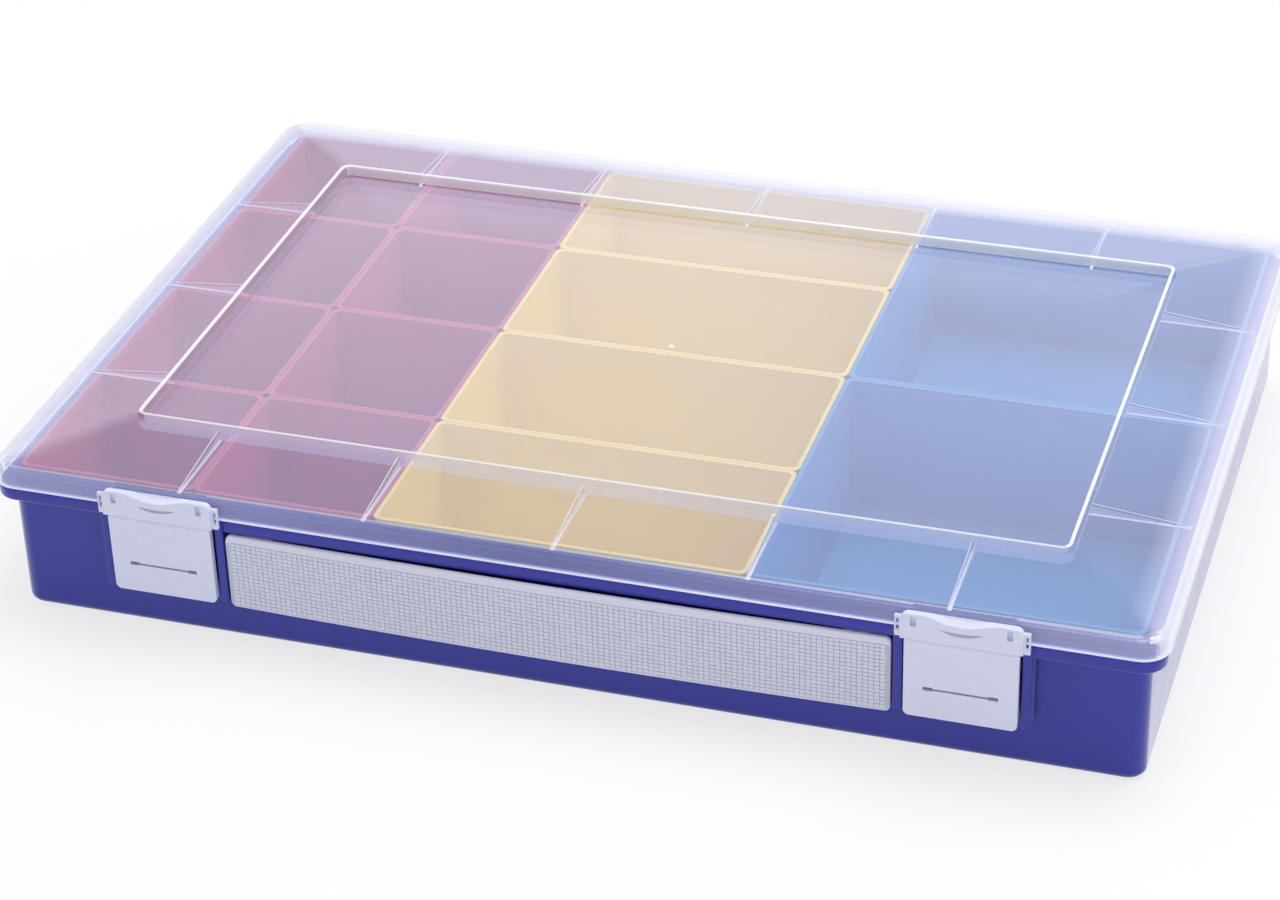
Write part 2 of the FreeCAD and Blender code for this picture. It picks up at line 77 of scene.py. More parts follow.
level_look = math.cos(CAMERA_ELEVATION)
look = Vector((
    -math.sin(CAMERA_AZIMUTH) * level_look,
    math.cos(CAMERA_AZIMUTH) * level_look,
    -math.sin(CAMERA_ELEVATION),
))
camera = bpy.data.objects.new("camera", bpy.data.cameras.new("camera"))
camera.data.lens = CAMERA_LENS
camera.data.sensor_width = SENSOR_WIDTH
camera.data.clip_end = FAR_LIMIT
camera.rotation_mode = "QUATERNION"
camera.rotation_quaternion = Quaternion(look, CAMERA_ROLL) @ look.to_track_quat("-Z", "Y")
camera.location = CAMERA_PLACE
scene.collection.objects.link(camera)
scene.camera = camera
scene.view_settings.view_transform = "Standard"
print("camera:", [round(value, 3) for value in camera.location], "lens", CAMERA_LENS)

# %% [markdown]
# ## Sizes
# Wall sections and levels repeat from piece to piece, so they are named once, in millimetres.
# Outer sizes are read from the frame. What only a moulder sees, such as a wall or the width
# of a lip, is a named value here.

# %% Sizes of the mouldings


def box_mm(node):
    """Lowest and highest corner of a solid, in millimetres."""
    low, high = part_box(node)
    return low / MM, high / MM


BINS = sorted(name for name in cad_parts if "_bin_" in name)
lid_low, lid_high = box_mm("lid")
bin_low, bin_high = box_mm(BINS[0])
strap_low, strap_high = box_mm("carry_strap")
LID_HALF = (lid_high.x, -lid_low.y)
CREST_TOP = lid_high.z
LID_WALL = 1.6
LID_CORNER = 8.0
LID_ROUND = 3.5
RECESS_DEPTH = 3.3
CREST_RIDGE = 0.8
BAND_SIDE = 32.0
BAND_FRONT = 33.3
BAND_RISE = 3.25
SKIRT_HEIGHT = 6.3
CREST_RISE = 2.9
PANEL_TOP = CREST_TOP - RECESS_DEPTH
PANEL_LOW = PANEL_TOP - LID_WALL
LID_EDGE = CREST_TOP - CREST_RISE
SKIRT_LOW = LID_EDGE - SKIRT_HEIGHT
LID_GAP = 0.3
SHELF_THICK = 1.8
HEM_HEIGHT = 4.0
HEM_INSET = 0.8
SHELF_TOP = SKIRT_LOW - LID_GAP
SHELF_LOW = SHELF_TOP - SHELF_THICK
HEM_LOW = SHELF_TOP - HEM_HEIGHT
HEM_HALF = (LID_HALF[0] - HEM_INSET, LID_HALF[1] - HEM_INSET)
HEM_WALL = 1.6
TRAY_STEP = 4.0
TRAY_WALL = 1.8
TRAY_FLOOR = 1.8
TRAY_FRONT = HEM_HALF[1] - TRAY_STEP
RIM_DROP = 1.0
RIM_TOP = bin_high.z - RIM_DROP
HINGE_Y = 114.0
AXIS_RISE = 0.1
HINGE_Z = SHELF_TOP + AXIS_RISE
print("lid half size", [round(value, 2) for value in LID_HALF], "rim at", round(RIM_TOP, 2))

# %% [markdown]
# ## Mesh helpers
# Nearly every moulding here is a rounded rectangle that changes its size on the way up. So one
# helper draws such a ring, one eases the corners of a profile, and one skins the rings with
# quads. A subdivision surface could round the edges too, but it would pull the flat walls in.

# %% Rings, eased profiles and skins
CORNER_STEPS = 8
EASE_STEPS = 4


def ring(half, inset, corner, z):
    """Points of a rounded rectangle, anticlockwise from above."""
    points = []
    half_x = half[0] - inset[0]
    half_y = half[1] - inset[1]
    for quarter in range(4):
        side_x = 1 if quarter in (0, 3) else -1
        side_y = 1 if quarter in (0, 1) else -1
        for step in range(CORNER_STEPS + 1):
            angle = (quarter + step / CORNER_STEPS) * math.pi / 2
            x = side_x * (half_x - corner) + corner * math.cos(angle)
            y = side_y * (half_y - corner) + corner * math.sin(angle)
            points.append(Vector((x, y, z)))
    return points


def eased(profile, steps):
    """Profile points of (inset x, inset y, corner, z, ease), each corner cut back and curved."""
    marks = [Vector(point[:4]) for point in profile]

    def towards(here, other, reach):
        run = math.hypot(other[0] - here[0], other[3] - here[3])
        return here.lerp(other, reach / run)

    smooth = [marks[0]]
    for before, here, after, point in zip(marks, marks[1:], marks[2:], profile[1:]):
        start = towards(here, before, point[4])
        end = towards(here, after, point[4])
        for step in range(steps + 1):
            share = step / steps
            first = start.lerp(here, share)
            second = here.lerp(end, share)
            smooth.append(first.lerp(second, share))
    smooth.append(marks[-1])
    return smooth


def skin(mesh, rings, looped=False):
    """Quads from ring to ring, then a cap on both ends or, if looped, quads back to the first."""
    rows = [[mesh.verts.new(point * MM) for point in points] for points in rings]
    count = len(rows[0])
    following_rows = rows[1:] + rows[:1] if looped else rows[1:]
    for lower, upper in zip(rows, following_rows):
        for spot in range(count):
            following = (spot + 1) % count
            mesh.faces.new((lower[spot], lower[following], upper[following], upper[spot]))
    if not looped:
        mesh.faces.new(reversed(rows[0]))
        mesh.faces.new(rows[-1])


def skin_profile(mesh, half, profile, place=(0, 0, 0), steps=EASE_STEPS):
    """A closed shell from a profile about the upright axis through a place."""
    offset = Vector(place)
    rings = []
    for inset_x, inset_y, corner, z in eased(profile, steps):
        rings.append([point + offset for point in ring(half, (inset_x, inset_y), corner, z)])
    skin(mesh, rings)


def block(mesh, low, high, round_off=0.3):
    """A box between two corners with bevelled edges, made apart and then added to a mesh."""
    low = Vector(low)
    high = Vector(high)
    size = high - low
    matrix = Matrix.Translation((low + high) / 2 * MM) @ Matrix.Diagonal((*(size * MM), 1))
    box = bmesh.new()
    bmesh.ops.create_cube(box, size=1, matrix=matrix)
    if round_off:
        bmesh.ops.bevel(
            box,
            geom=box.edges[:],
            offset=round_off * MM,
            segments=2,
            profile=0.5,
            affect="EDGES",
        )
    data = bpy.data.meshes.new("block")
    box.to_mesh(data)
    box.free()
    mesh.from_mesh(data)
    bpy.data.meshes.remove(data)


print("helpers ready, a ring has", len(ring((10, 10), (0, 0), 2, 0)), "points")

# %% [markdown]
# ## From mesh to piece
# A finished piece is a plain mesh at the origin. Shading is smooth except at sharp edges, and
# weighted normals keep the big flat walls flat beside their narrow rounded edges. Each piece
# then rides on the body that carries it, and stands for its solid in the frame.

# %% Finishing a piece
SHARP_ANGLE = math.radians(40)


def plain_object(name, mesh):
    """A mesh under construction as an object of the scene."""
    data = bpy.data.meshes.new(name)
    mesh.normal_update()
    mesh.to_mesh(data)
    mesh.free()
    thing = bpy.data.objects.new(name, data)
    scene.collection.objects.link(thing)
    return thing


def baked(thing):
    """Apply the modifiers of an object and leave a plain mesh."""
    graph = bpy.context.evaluated_depsgraph_get()
    data = bpy.data.meshes.new_from_object(thing.evaluated_get(graph), depsgraph=graph)
    thing.modifiers.clear()
    thing.data = data
    data.name = thing.name
    return thing


def shaded(thing):
    """Smooth shading with flat walls kept flat."""
    thing.data.shade_smooth()
    thing.data.set_sharp_from_angle(angle=SHARP_ANGLE)
    weights = thing.modifiers.new("flat walls", "WEIGHTED_NORMAL")
    weights.keep_sharp = True
    return baked(thing)


def settle(thing, material, body, slot, *nodes):
    """Give a piece its finish, its body and the solids that it stands for."""
    thing.data.materials.clear()
    thing.data.materials.append(material)
    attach(thing, body)
    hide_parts(*nodes)
    print(thing.name, len(thing.data.polygons), "faces on", body)


# %% [markdown]
# ## Moulded plastic
# Bins and tray are polypropylene: a solid colour with a satin skin, a very fine grain from the
# mould, and slow changes of gloss where the melt ran. Noise on object coordinates gives grain
# and gloss without any image, and it stays in place when a piece moves. The thin walls of the
# bins let some light through, and that light is painted in: the colour turns lighter or darker
# on the way down, as painted light and shade, and the rim is painted darker, as painted shade
# over the light that it catches.

# %% Moulded plastic finish
NOISE_RANGE = (0.3, 0.7)
FLOW_SCALE = 18.0
FLOW_DETAIL = 3.0
FLOW_CHANGE = 0.03
GLOSS_SCALE = 55.0
GLOSS_DETAIL = 4.0
SMOOTHER = 0.05
ROUGHER = 0.07
GRAIN_SCALE = 1400.0
GRAIN_DETAIL = 2.0
GRAIN_STRENGTH = 0.5
GRAIN_DEPTH = 0.000002
PLASTIC_IOR = 1.5


def fresh_material(name):
    """A material with one Principled shader."""
    material = bpy.data.materials.new(name)
    material.use_nodes = True
    tree = material.node_tree
    shader = tree.nodes["Principled BSDF"]
    return material, tree, shader


def noise(tree, scale, detail):
    """Noise on object coordinates, scale in cycles for each metre."""
    where = tree.nodes.new("ShaderNodeTexCoord")
    texture = tree.nodes.new("ShaderNodeTexNoise")
    texture.inputs["Scale"].default_value = scale
    texture.inputs["Detail"].default_value = detail
    tree.links.new(where.outputs["Object"], texture.inputs["Vector"])
    return texture.outputs["Fac"]


def fade(tree, source, start, end, low=0.0, high=1.0):
    """A number that goes from low to high while its source goes from start to end."""
    ramp = tree.nodes.new("ShaderNodeMapRange")
    ramp.inputs["From Min"].default_value = start
    ramp.inputs["From Max"].default_value = end
    ramp.inputs["To Min"].default_value = low
    ramp.inputs["To Max"].default_value = high
    tree.links.new(source, ramp.inputs["Value"])
    return ramp.outputs["Result"]


def spread(tree, source, low, high):
    """A value from noise, spread between two limits."""
    return fade(tree, source, *NOISE_RANGE, low, high)


def grain(tree, shader):
    """Fine mould grain as a bump."""
    bump = tree.nodes.new("ShaderNodeBump")
    bump.inputs["Strength"].default_value = GRAIN_STRENGTH
    bump.inputs["Distance"].default_value = GRAIN_DEPTH
    tree.links.new(noise(tree, GRAIN_SCALE, GRAIN_DETAIL), bump.inputs["Height"])
    tree.links.new(bump.outputs["Normal"], shader.inputs["Normal"])


def colour_mix(tree, share, target):
    """Two colours mixed by a node's output, as the colour of a shader."""
    mix = tree.nodes.new("ShaderNodeMix")
    mix.data_type = "RGBA"
    tree.links.new(share, mix.inputs["Factor"])
    tree.links.new(mix.outputs["Result"], target)
    return mix


def tinted(tree, shader, colour):
    """A colour that changes a little where the melt flowed."""
    darker = [value * (1 - FLOW_CHANGE) for value in colour]
    lighter = [min(1, value * (1 + FLOW_CHANGE)) for value in colour]
    flow = noise(tree, FLOW_SCALE, FLOW_DETAIL)
    mix = colour_mix(tree, flow, shader.inputs["Base Color"])
    mix.inputs["A"].default_value = (*darker, 1)
    mix.inputs["B"].default_value = (*lighter, 1)


def moulded_plastic(name, colour, rough):
    """Satin plastic with grain, flow tint and uneven gloss."""
    material, tree, shader = fresh_material(name)
    tinted(tree, shader, colour)
    uneven = noise(tree, GLOSS_SCALE, GLOSS_DETAIL)
    roughness = spread(tree, uneven, rough - SMOOTHER, rough + ROUGHER)
    tree.links.new(roughness, shader.inputs["Roughness"])
    grain(tree, shader)
    shader.inputs["IOR"].default_value = PLASTIC_IOR
    return material


def turning(material, colour, start, end):
    """Let the colour turn into another one between two levels, in millimetres."""
    tree = material.node_tree
    base = tree.nodes["Principled BSDF"].inputs["Base Color"]
    where = tree.nodes.new("ShaderNodeTexCoord")
    parts = tree.nodes.new("ShaderNodeSeparateXYZ")
    tree.links.new(where.outputs["Object"], parts.inputs["Vector"])
    before = base.links[0].from_socket
    mix = colour_mix(tree, fade(tree, parts.outputs["Z"], start * MM, end * MM), base)
    mix.inputs["B"].default_value = (*colour, 1)
    tree.links.new(before, mix.inputs["A"])


TRAY_COLOUR = (0.014, 0.02, 0.31)
TRAY_ROUGH = 0.3
TRAY_SKIN = {
    "Coat Weight": 1.0,
    "Coat Roughness": 0.08,
    "Coat IOR": 1.35,
    "Specular IOR Level": 0.25,
    "Sheen Weight": 0.5,
    "Sheen Roughness": 0.25,
    "Sheen Tint": (0.8, 0.82, 1.0, 1),
}
BIN_ROUGH = 0.36
# Painted light and shade in the bins: each has its own wall colour, a colour towards the floor
# that stands in for the light inside it, and a darker rim colour, painted shade over the light on
# the rim, which fades in over these depths below the top.
RIM_SHADE_FADE = (0.8, 0.2)
BIN_COLOURS = {
    "red": {"wall": (0.68, 0.06, 0.13), "floor_light_and_shade": (0.64, 0.085, 0.17), "rim": (0.56, 0.055, 0.115)},
    "yellow": {"wall": (1.0, 0.8, 0.09), "floor_light_and_shade": (1.0, 0.87, 0.15), "rim": (0.92, 0.72, 0.12)},
    "blue": {"wall": (0.08, 0.43, 0.76), "floor_light_and_shade": (0.055, 0.29, 0.53), "rim": (0.055, 0.3, 0.56)},
}

tray_blue = moulded_plastic("tray_blue_plastic", TRAY_COLOUR, TRAY_ROUGH)
tray_shader = tray_blue.node_tree.nodes["Principled BSDF"]
for socket, value in TRAY_SKIN.items():
    tray_shader.inputs[socket].default_value = value
rim_shade_start, rim_shade_end = [bin_high.z - drop for drop in RIM_SHADE_FADE]
bin_finishes = {}
for colour, shades in BIN_COLOURS.items():
    finish = moulded_plastic(f"bin_{colour}_plastic", shades["wall"], BIN_ROUGH)
    # Painted light and shade towards the floor, then painted shade on the rim.
    turning(finish, shades["floor_light_and_shade"], bin_high.z, bin_low.z)
    turning(finish, shades["rim"], rim_shade_start, rim_shade_end)
    bin_finishes[colour] = finish
print("plastics:", tray_blue.name, [finish.name for finish in bin_finishes.values()])

# %% [markdown]
# ## Bins
# The bins are thin drafted boxes, wider at the rim than at the foot, with round corners. All
# fourteen follow one rule, so one profile is skinned to the outline that the frame gives for
# each: up the outside, over a rim that flares a little to meet its neighbour, down the inside
# and across the floor.

# %% Bins
BIN_DRAFT = 1.4
BIN_WALL = 1.2
BIN_FLOOR = 1.4
BIN_CORNER = 3.0
BIN_FOOT = 1.6
RIM_ROUND = 0.35
RIM_CORNER = 1.8
LIP_FLARE = 0.18
LIP_TALL = 1.4
LIP_EASE = 0.3
FLAT_INSET = 12.0
FLAT_CORNER = 1.0


def bin_profile(foot, rim):
    """Outside from the foot, over the rim, and down the inside."""
    inner = BIN_CORNER - BIN_WALL
    lean = BIN_DRAFT + BIN_WALL
    return [
        (FLAT_INSET, FLAT_INSET, FLAT_CORNER, foot, 0),
        (BIN_DRAFT, BIN_DRAFT, BIN_CORNER, foot, BIN_FOOT),
        (0, 0, BIN_CORNER, rim - LIP_TALL, LIP_EASE),
        (-LIP_FLARE, -LIP_FLARE, RIM_CORNER, rim, RIM_ROUND),
        (BIN_WALL, BIN_WALL, inner, rim, RIM_ROUND),
        (lean, lean, inner, foot + BIN_FLOOR, BIN_FOOT),
        (FLAT_INSET, FLAT_INSET, FLAT_CORNER, foot + BIN_FLOOR, 0),
    ]


for name in BINS:
    low, high = box_mm(name)
    middle = (low + high) / 2
    half = ((high.x - low.x) / 2, (high.y - low.y) / 2)
    mesh = bmesh.new()
    skin_profile(mesh, half, bin_profile(low.z, high.z), (middle.x, middle.y, 0))
    colour = name.split("_")[0]
    shell = shaded(plain_object(name + "_shell", mesh))
    settle(shell, bin_finishes[colour], "base", "bin_" + colour, name)

# %% [markdown]
# ## Tray
# The tray's wall carries a ledge and a rolled hem that the lid's skirt stands over. The whole
# section, from the foot over the hem and the rim to the floor inside, is one profile. Posts,
# latch catches and strap seats are blocks on it, sunk a little into the wall.

# %% Tray
TRAY_CORNER = 5.0
TRAY_FOOT = 2.5
HEM_CORNER = LID_CORNER - HEM_INSET
LATCH_X = 112.6
FLAP_HALF = 15.2
POST_WIDTH = 2.6
POST_GAP = 0.6
SEAT_LENGTH = 22.0
SEAT_DEPTH = 2.3
SUNK = 0.9
ROOT = -TRAY_FRONT + SUNK
TRAY_FLAT = 16.0
UNDER_SHELF_EASE = 0.5
HEM_ROOT_EASE = 0.3
HEM_LIP_EASE = (0.75, 0.8)
HEM_TOP_EASE = 1.6
LEDGE_EASE = 0.4
RIM_EASE = 0.6
flap_low = box_mm("latch_flap_left")[0]
POST_IN = LATCH_X - FLAP_HALF - POST_GAP - POST_WIDTH
POST_OUT = LATCH_X + FLAP_HALF + POST_GAP

inner_corner = TRAY_CORNER - TRAY_WALL
inner_step = TRAY_STEP + TRAY_WALL
hem_inner = HEM_CORNER - HEM_WALL
tray_profile = [
    (FLAT_INSET, FLAT_INSET, FLAT_CORNER, 0, 0),
    (TRAY_STEP, TRAY_STEP, TRAY_CORNER, 0, TRAY_FOOT),
    (TRAY_STEP, TRAY_STEP, TRAY_CORNER, SHELF_LOW, UNDER_SHELF_EASE),
    (HEM_WALL, HEM_WALL, hem_inner, SHELF_LOW, HEM_ROOT_EASE),
    (HEM_WALL, HEM_WALL, hem_inner, HEM_LOW, HEM_LIP_EASE[0]),
    (0, 0, HEM_CORNER, HEM_LOW, HEM_LIP_EASE[1]),
    (0, 0, HEM_CORNER, SHELF_TOP, HEM_TOP_EASE),
    (TRAY_STEP, TRAY_STEP, TRAY_CORNER, SHELF_TOP, LEDGE_EASE),
    (TRAY_STEP, TRAY_STEP, TRAY_CORNER, RIM_TOP, RIM_EASE),
    (inner_step, inner_step, inner_corner, RIM_TOP, RIM_EASE),
    (inner_step, inner_step, inner_corner, TRAY_FLOOR, TRAY_WALL),
    (TRAY_FLAT, TRAY_FLAT, FLAT_CORNER, TRAY_FLOOR, 0),
]
mesh = bmesh.new()
skin_profile(mesh, HEM_HALF, tray_profile)


def both_sides(x_low, x_high):
    """The same span on the right and on the left."""
    return ((x_low, x_high), (-x_high, -x_low))


SEAT_FRONT = -TRAY_FRONT - SEAT_DEPTH
CATCH_REACH = 2.6
CATCH_RISE = 8.8
CATCH_HEIGHT = 2.4
HOOK_HALF = 7.5
POST_EDGE = 0.5
catch_front = -TRAY_FRONT - CATCH_REACH
catch_low = flap_low.z + CATCH_RISE
catch_high = catch_low + CATCH_HEIGHT
ledge_z = SHELF_LOW + SUNK
for start in (POST_IN, POST_OUT):
    for x_low, x_high in both_sides(start, start + POST_WIDTH):
        block(mesh, (x_low, -LID_HALF[1], flap_low.z), (x_high, ROOT, ledge_z), POST_EDGE)
for x_low, x_high in both_sides(LATCH_X - HOOK_HALF, LATCH_X + HOOK_HALF):
    block(mesh, (x_low, catch_front, catch_low), (x_high, ROOT, catch_high))

LUG_INSET = 8.9
LUG_HALF = 4.1
LUG_CLEAR = 0.4
LUG_HEIGHT = 12.0
SEAT_INSET = 0.8
SEAT_OVERLAP = 0.5
STEM_DEPTH = 1.8
lug_x = strap_high.x - LUG_INSET
lug_low = strap_high.z - LUG_HEIGHT
seat_low = strap_low.z + SEAT_INSET
seat_high = strap_high.z - SEAT_INSET
seat_in = POST_IN - SEAT_LENGTH
pocket = LUG_HALF + LUG_CLEAR
seat_blocks = [
    (seat_in, lug_x - pocket, seat_low, seat_high),
    (lug_x + pocket, POST_IN + POST_WIDTH / 2, seat_low, seat_high),
    (lug_x - pocket - SEAT_OVERLAP, lug_x + pocket + SEAT_OVERLAP, seat_low, lug_low - LUG_CLEAR),
    (seat_in, seat_in + POST_WIDTH / 2, seat_high - STEM_DEPTH, ledge_z),
]
for x_in, x_out, z_low, z_high in seat_blocks:
    for x_low, x_high in both_sides(x_in, x_out):
        block(mesh, (x_low, SEAT_FRONT, z_low), (x_high, ROOT, z_high))

# %% [markdown]
# At the back the tray holds the lid's stub axles in bored ears. An ear is a short tube on a
# foot, so it is skinned from four circles: along the outside, and back along the bore.

# %% Hinge ears
EAR_RADIUS = 2.2
EAR_THICK = 3.0
EAR_FOOT = 3.0
EAR_SUNK = 0.8
EAR_EDGE = 0.2
BORE_RADIUS = 1.25
AXLE_RADIUS = 1.2
KNUCKLE_RADIUS = 1.9
KNUCKLE_HALF = 9.0
HINGE_GAP = 0.3
EAR_START = KNUCKLE_HALF + HINGE_GAP
HINGE_SIDES = 32


def hinge_circle(x, radius):
    """Points of a circle round the hinge axis."""
    points = []
    for side in range(HINGE_SIDES):
        angle = math.tau * side / HINGE_SIDES
        y = HINGE_Y + radius * math.cos(angle)
        z = HINGE_Z + radius * math.sin(angle)
        points.append(Vector((x, y, z)))
    return points


for sign in (1, -1):
    for x_in in (LATCH_X + EAR_START, LATCH_X - EAR_START - EAR_THICK):
        x_low, x_high = sorted((sign * x_in, sign * (x_in + EAR_THICK)))
        outside = [hinge_circle(x, EAR_RADIUS) for x in (x_low, x_high)]
        bore = [hinge_circle(x, BORE_RADIUS) for x in (x_low, x_high)]
        skin(mesh, [bore[0], *outside, bore[1]], looped=True)
        foot_low = (x_low, HEM_HALF[1] - EAR_SUNK, SHELF_TOP - EAR_FOOT)
        block(mesh, foot_low, (x_high, HINGE_Y - BORE_RADIUS, SHELF_TOP), EAR_EDGE)
tray = shaded(plain_object("tray_moulding", mesh))
settle(tray, tray_blue, "base", "tray_blue", "base_tray")

# %% [markdown]
# ## Clear lid finish
# The lid is not glass: it is polypropylene that is clear but milky, so what lies below shows
# through a lavender haze, and its polished skin mirrors the pale room. Glass would bend the view
# and darken the bins. Here each skin of the sheet is part haze and part open, under a mirror
# that grows at flat angles, and lamps shine through it as they do through the real lid.

# %% Clear lid finish
LID_HAZE = (0.62, 0.66, 0.98)
# Painted highlight: where the lid's share is high, the haze colour turns towards this white.
HIGHLIGHT_WHITE = (0.92, 0.92, 0.96)
HIGHLIGHT_RAMP = (0.18, 0.6)
HAZE_ROUGH = 0.5
CLOUD_SCALE = 14.0
CLOUD_DETAIL = 3.0
CLOUD = (0.94, 1.06)
MIRROR_ROUGH = 0.1
MIRROR_HEAD_ON = 0.04
MIRROR_POWER = 5.0
MIRROR_BLEND = 0.5
LAMP_SHARE = 0.9


def shader_mix(tree, share, first, second):
    """Two shaders mixed by a node's output."""
    mix = tree.nodes.new("ShaderNodeMixShader")
    tree.links.new(share, mix.inputs["Fac"])
    tree.links.new(first, mix.inputs[1])
    tree.links.new(second, mix.inputs[2])
    return mix.outputs["Shader"]


def sums(tree, operation, first, *numbers):
    """A math node on one output and one or two numbers or outputs."""
    node = tree.nodes.new("ShaderNodeMath")
    node.operation = operation
    tree.links.new(first, node.inputs[0])
    for spot, number in enumerate(numbers, 1):
        if isinstance(number, float):
            node.inputs[spot].default_value = number
        else:
            tree.links.new(number, node.inputs[spot])
    return node.outputs["Value"]


def clear_plastic(name):
    """Hazy clear plastic. An attribute gives each corner its share of haze, and a high share also
    turns the haze white, as a painted highlight.
    """
    material, tree, haze = fresh_material(name)
    haze.inputs["Roughness"].default_value = HAZE_ROUGH
    haze.inputs["Specular IOR Level"].default_value = 0.0
    frost = tree.nodes.new("ShaderNodeAttribute")
    frost.attribute_name = "frost"
    highlight_share = fade(tree, frost.outputs["Fac"], *HIGHLIGHT_RAMP)
    highlight_colour = colour_mix(tree, highlight_share, haze.inputs["Base Color"])
    highlight_colour.inputs["A"].default_value = (*LID_HAZE, 1)
    highlight_colour.inputs["B"].default_value = (*HIGHLIGHT_WHITE, 1)
    cloud = spread(tree, noise(tree, CLOUD_SCALE, CLOUD_DETAIL), *CLOUD)
    share = sums(tree, "MULTIPLY", frost.outputs["Fac"], cloud)
    clear = tree.nodes.new("ShaderNodeBsdfTransparent").outputs["BSDF"]
    sheet = shader_mix(tree, share, clear, haze.outputs["BSDF"])
    facing = tree.nodes.new("ShaderNodeLayerWeight")
    facing.inputs["Blend"].default_value = MIRROR_BLEND
    grazing = sums(tree, "POWER", facing.outputs["Facing"], MIRROR_POWER)
    mirror = tree.nodes.new("ShaderNodeBsdfGlossy")
    mirror.inputs["Roughness"].default_value = MIRROR_ROUGH
    gain = 1 - MIRROR_HEAD_ON
    mirror_share = sums(tree, "MULTIPLY_ADD", grazing, gain, MIRROR_HEAD_ON)
    polished = shader_mix(tree, mirror_share, sheet, mirror.outputs["BSDF"])
    path = tree.nodes.new("ShaderNodeLightPath")
    lamp = sums(tree, "MULTIPLY", path.outputs["Is Shadow Ray"], LAMP_SHARE)
    surface = shader_mix(tree, lamp, polished, clear)
    tree.links.new(surface, tree.nodes["Material Output"].inputs["Surface"])
    return material


lid_clear = clear_plastic("lid_clear_plastic")
print("clear finish:", len(lid_clear.node_tree.nodes), "nodes")

# %% [markdown]
# ## Lid
# The lid is one thin sheet: a skirt, a round shoulder, a band that rises in a gentle hip to a
# narrow crest, and a sunk centre panel. Under the band stand thin ribs, over the joints
# between the bins. The sheet is one closed profile. Ribs repeat along the four sides, so a
# small geometry tree sets a wedge on a line of points, and a boolean melts them into the sheet.

# %% Lid sheet
RECESS_X = BAND_SIDE + CREST_RIDGE
RECESS_Y = BAND_FRONT + CREST_RIDGE
PANEL_FLAT = 60.0
CREST_CORNER = 2.8
RECESS_CORNER = 2.0
RECESS_CORNER_LOW = 3.6
BAND_SLACK = 0.1
CREST_EASE = 0.3
EDGE_EASE = 0.4
PANEL_EASE = 0.5
SHOULDER_Z = CREST_TOP - BAND_RISE
lid_inner_corner = LID_CORNER - LID_WALL
wall_x = RECESS_X - LID_WALL
wall_y = RECESS_Y - LID_WALL
under_band = CREST_TOP - LID_WALL - BAND_SLACK
lid_profile = [
    (PANEL_FLAT, PANEL_FLAT, FLAT_CORNER, PANEL_LOW, 0),
    (wall_x, wall_y, RECESS_CORNER_LOW, PANEL_LOW, PANEL_EASE),
    (wall_x, wall_y, RECESS_CORNER_LOW, under_band, EDGE_EASE),
    (LID_WALL, LID_WALL, lid_inner_corner, SHOULDER_Z - LID_WALL, LID_ROUND - LID_WALL),
    (LID_WALL, LID_WALL, lid_inner_corner, SKIRT_LOW, EDGE_EASE),
    (0, 0, LID_CORNER, SKIRT_LOW, PANEL_EASE),
    (0, 0, LID_CORNER, SHOULDER_Z, LID_ROUND),
    (BAND_SIDE, BAND_FRONT, CREST_CORNER, CREST_TOP, CREST_EASE),
    (RECESS_X, RECESS_Y, RECESS_CORNER, CREST_TOP, CREST_EASE),
    (RECESS_X, RECESS_Y, RECESS_CORNER, PANEL_TOP, PANEL_EASE),
    (PANEL_FLAT, PANEL_FLAT, FLAT_CORNER, PANEL_TOP, 0),
]
mesh = bmesh.new()
skin_profile(mesh, LID_HALF, lid_profile, steps=2 * EASE_STEPS)
lid = plain_object("lid_moulding", mesh)
print("lid sheet:", len(lid.data.polygons), "faces")

# %% Ribs under the band
RIB_THICK = 0.9
RIB_START = 4.0
RIB_LEAST = 0.05
RIB_PITCH = 54.0
RIB_SINK = 0.35
RIB_FLARE = 0.2
WEDGE_FACES = 14


def named_inputs(tree, kinds):
    """Give a tree its named inputs and one result, and tell the inputs' identifiers."""
    face = tree.interface
    named = {}
    for word, kind in kinds.items():
        named[word] = face.new_socket(word, in_out="INPUT", socket_type=kind)
    face.new_socket("Result", in_out="OUTPUT", socket_type="NodeSocketGeometry")
    return {word: socket.identifier for word, socket in named.items()}


def set_on_points(tree, given, points):
    """The blank on every point, made real and painted, as the result of the tree."""
    new = tree.nodes.new
    link = tree.links.new
    blank = new("GeometryNodeObjectInfo")
    place = new("GeometryNodeInstanceOnPoints")
    real = new("GeometryNodeRealizeInstances")
    paint = new("GeometryNodeSetMaterial")
    result = new("NodeGroupOutput")
    link(given.outputs["Blank"], blank.inputs["Object"])
    link(points, place.inputs["Points"])
    link(blank.outputs["Geometry"], place.inputs["Instance"])
    link(place.outputs["Instances"], real.inputs["Geometry"])
    link(real.outputs["Geometry"], paint.inputs["Geometry"])
    link(given.outputs["Finish"], paint.inputs["Material"])
    link(paint.outputs["Geometry"], result.inputs["Result"])
    return place


def grown(name, tree, identifiers, values):
    """A plain mesh that a geometry tree makes from named values."""
    holder = plain_object(name, bmesh.new())
    modifier = holder.modifiers.new(tree.name, "NODES")
    modifier.node_group = tree
    for word, value in values.items():
        modifier[identifiers[word]] = value
    return baked(holder)


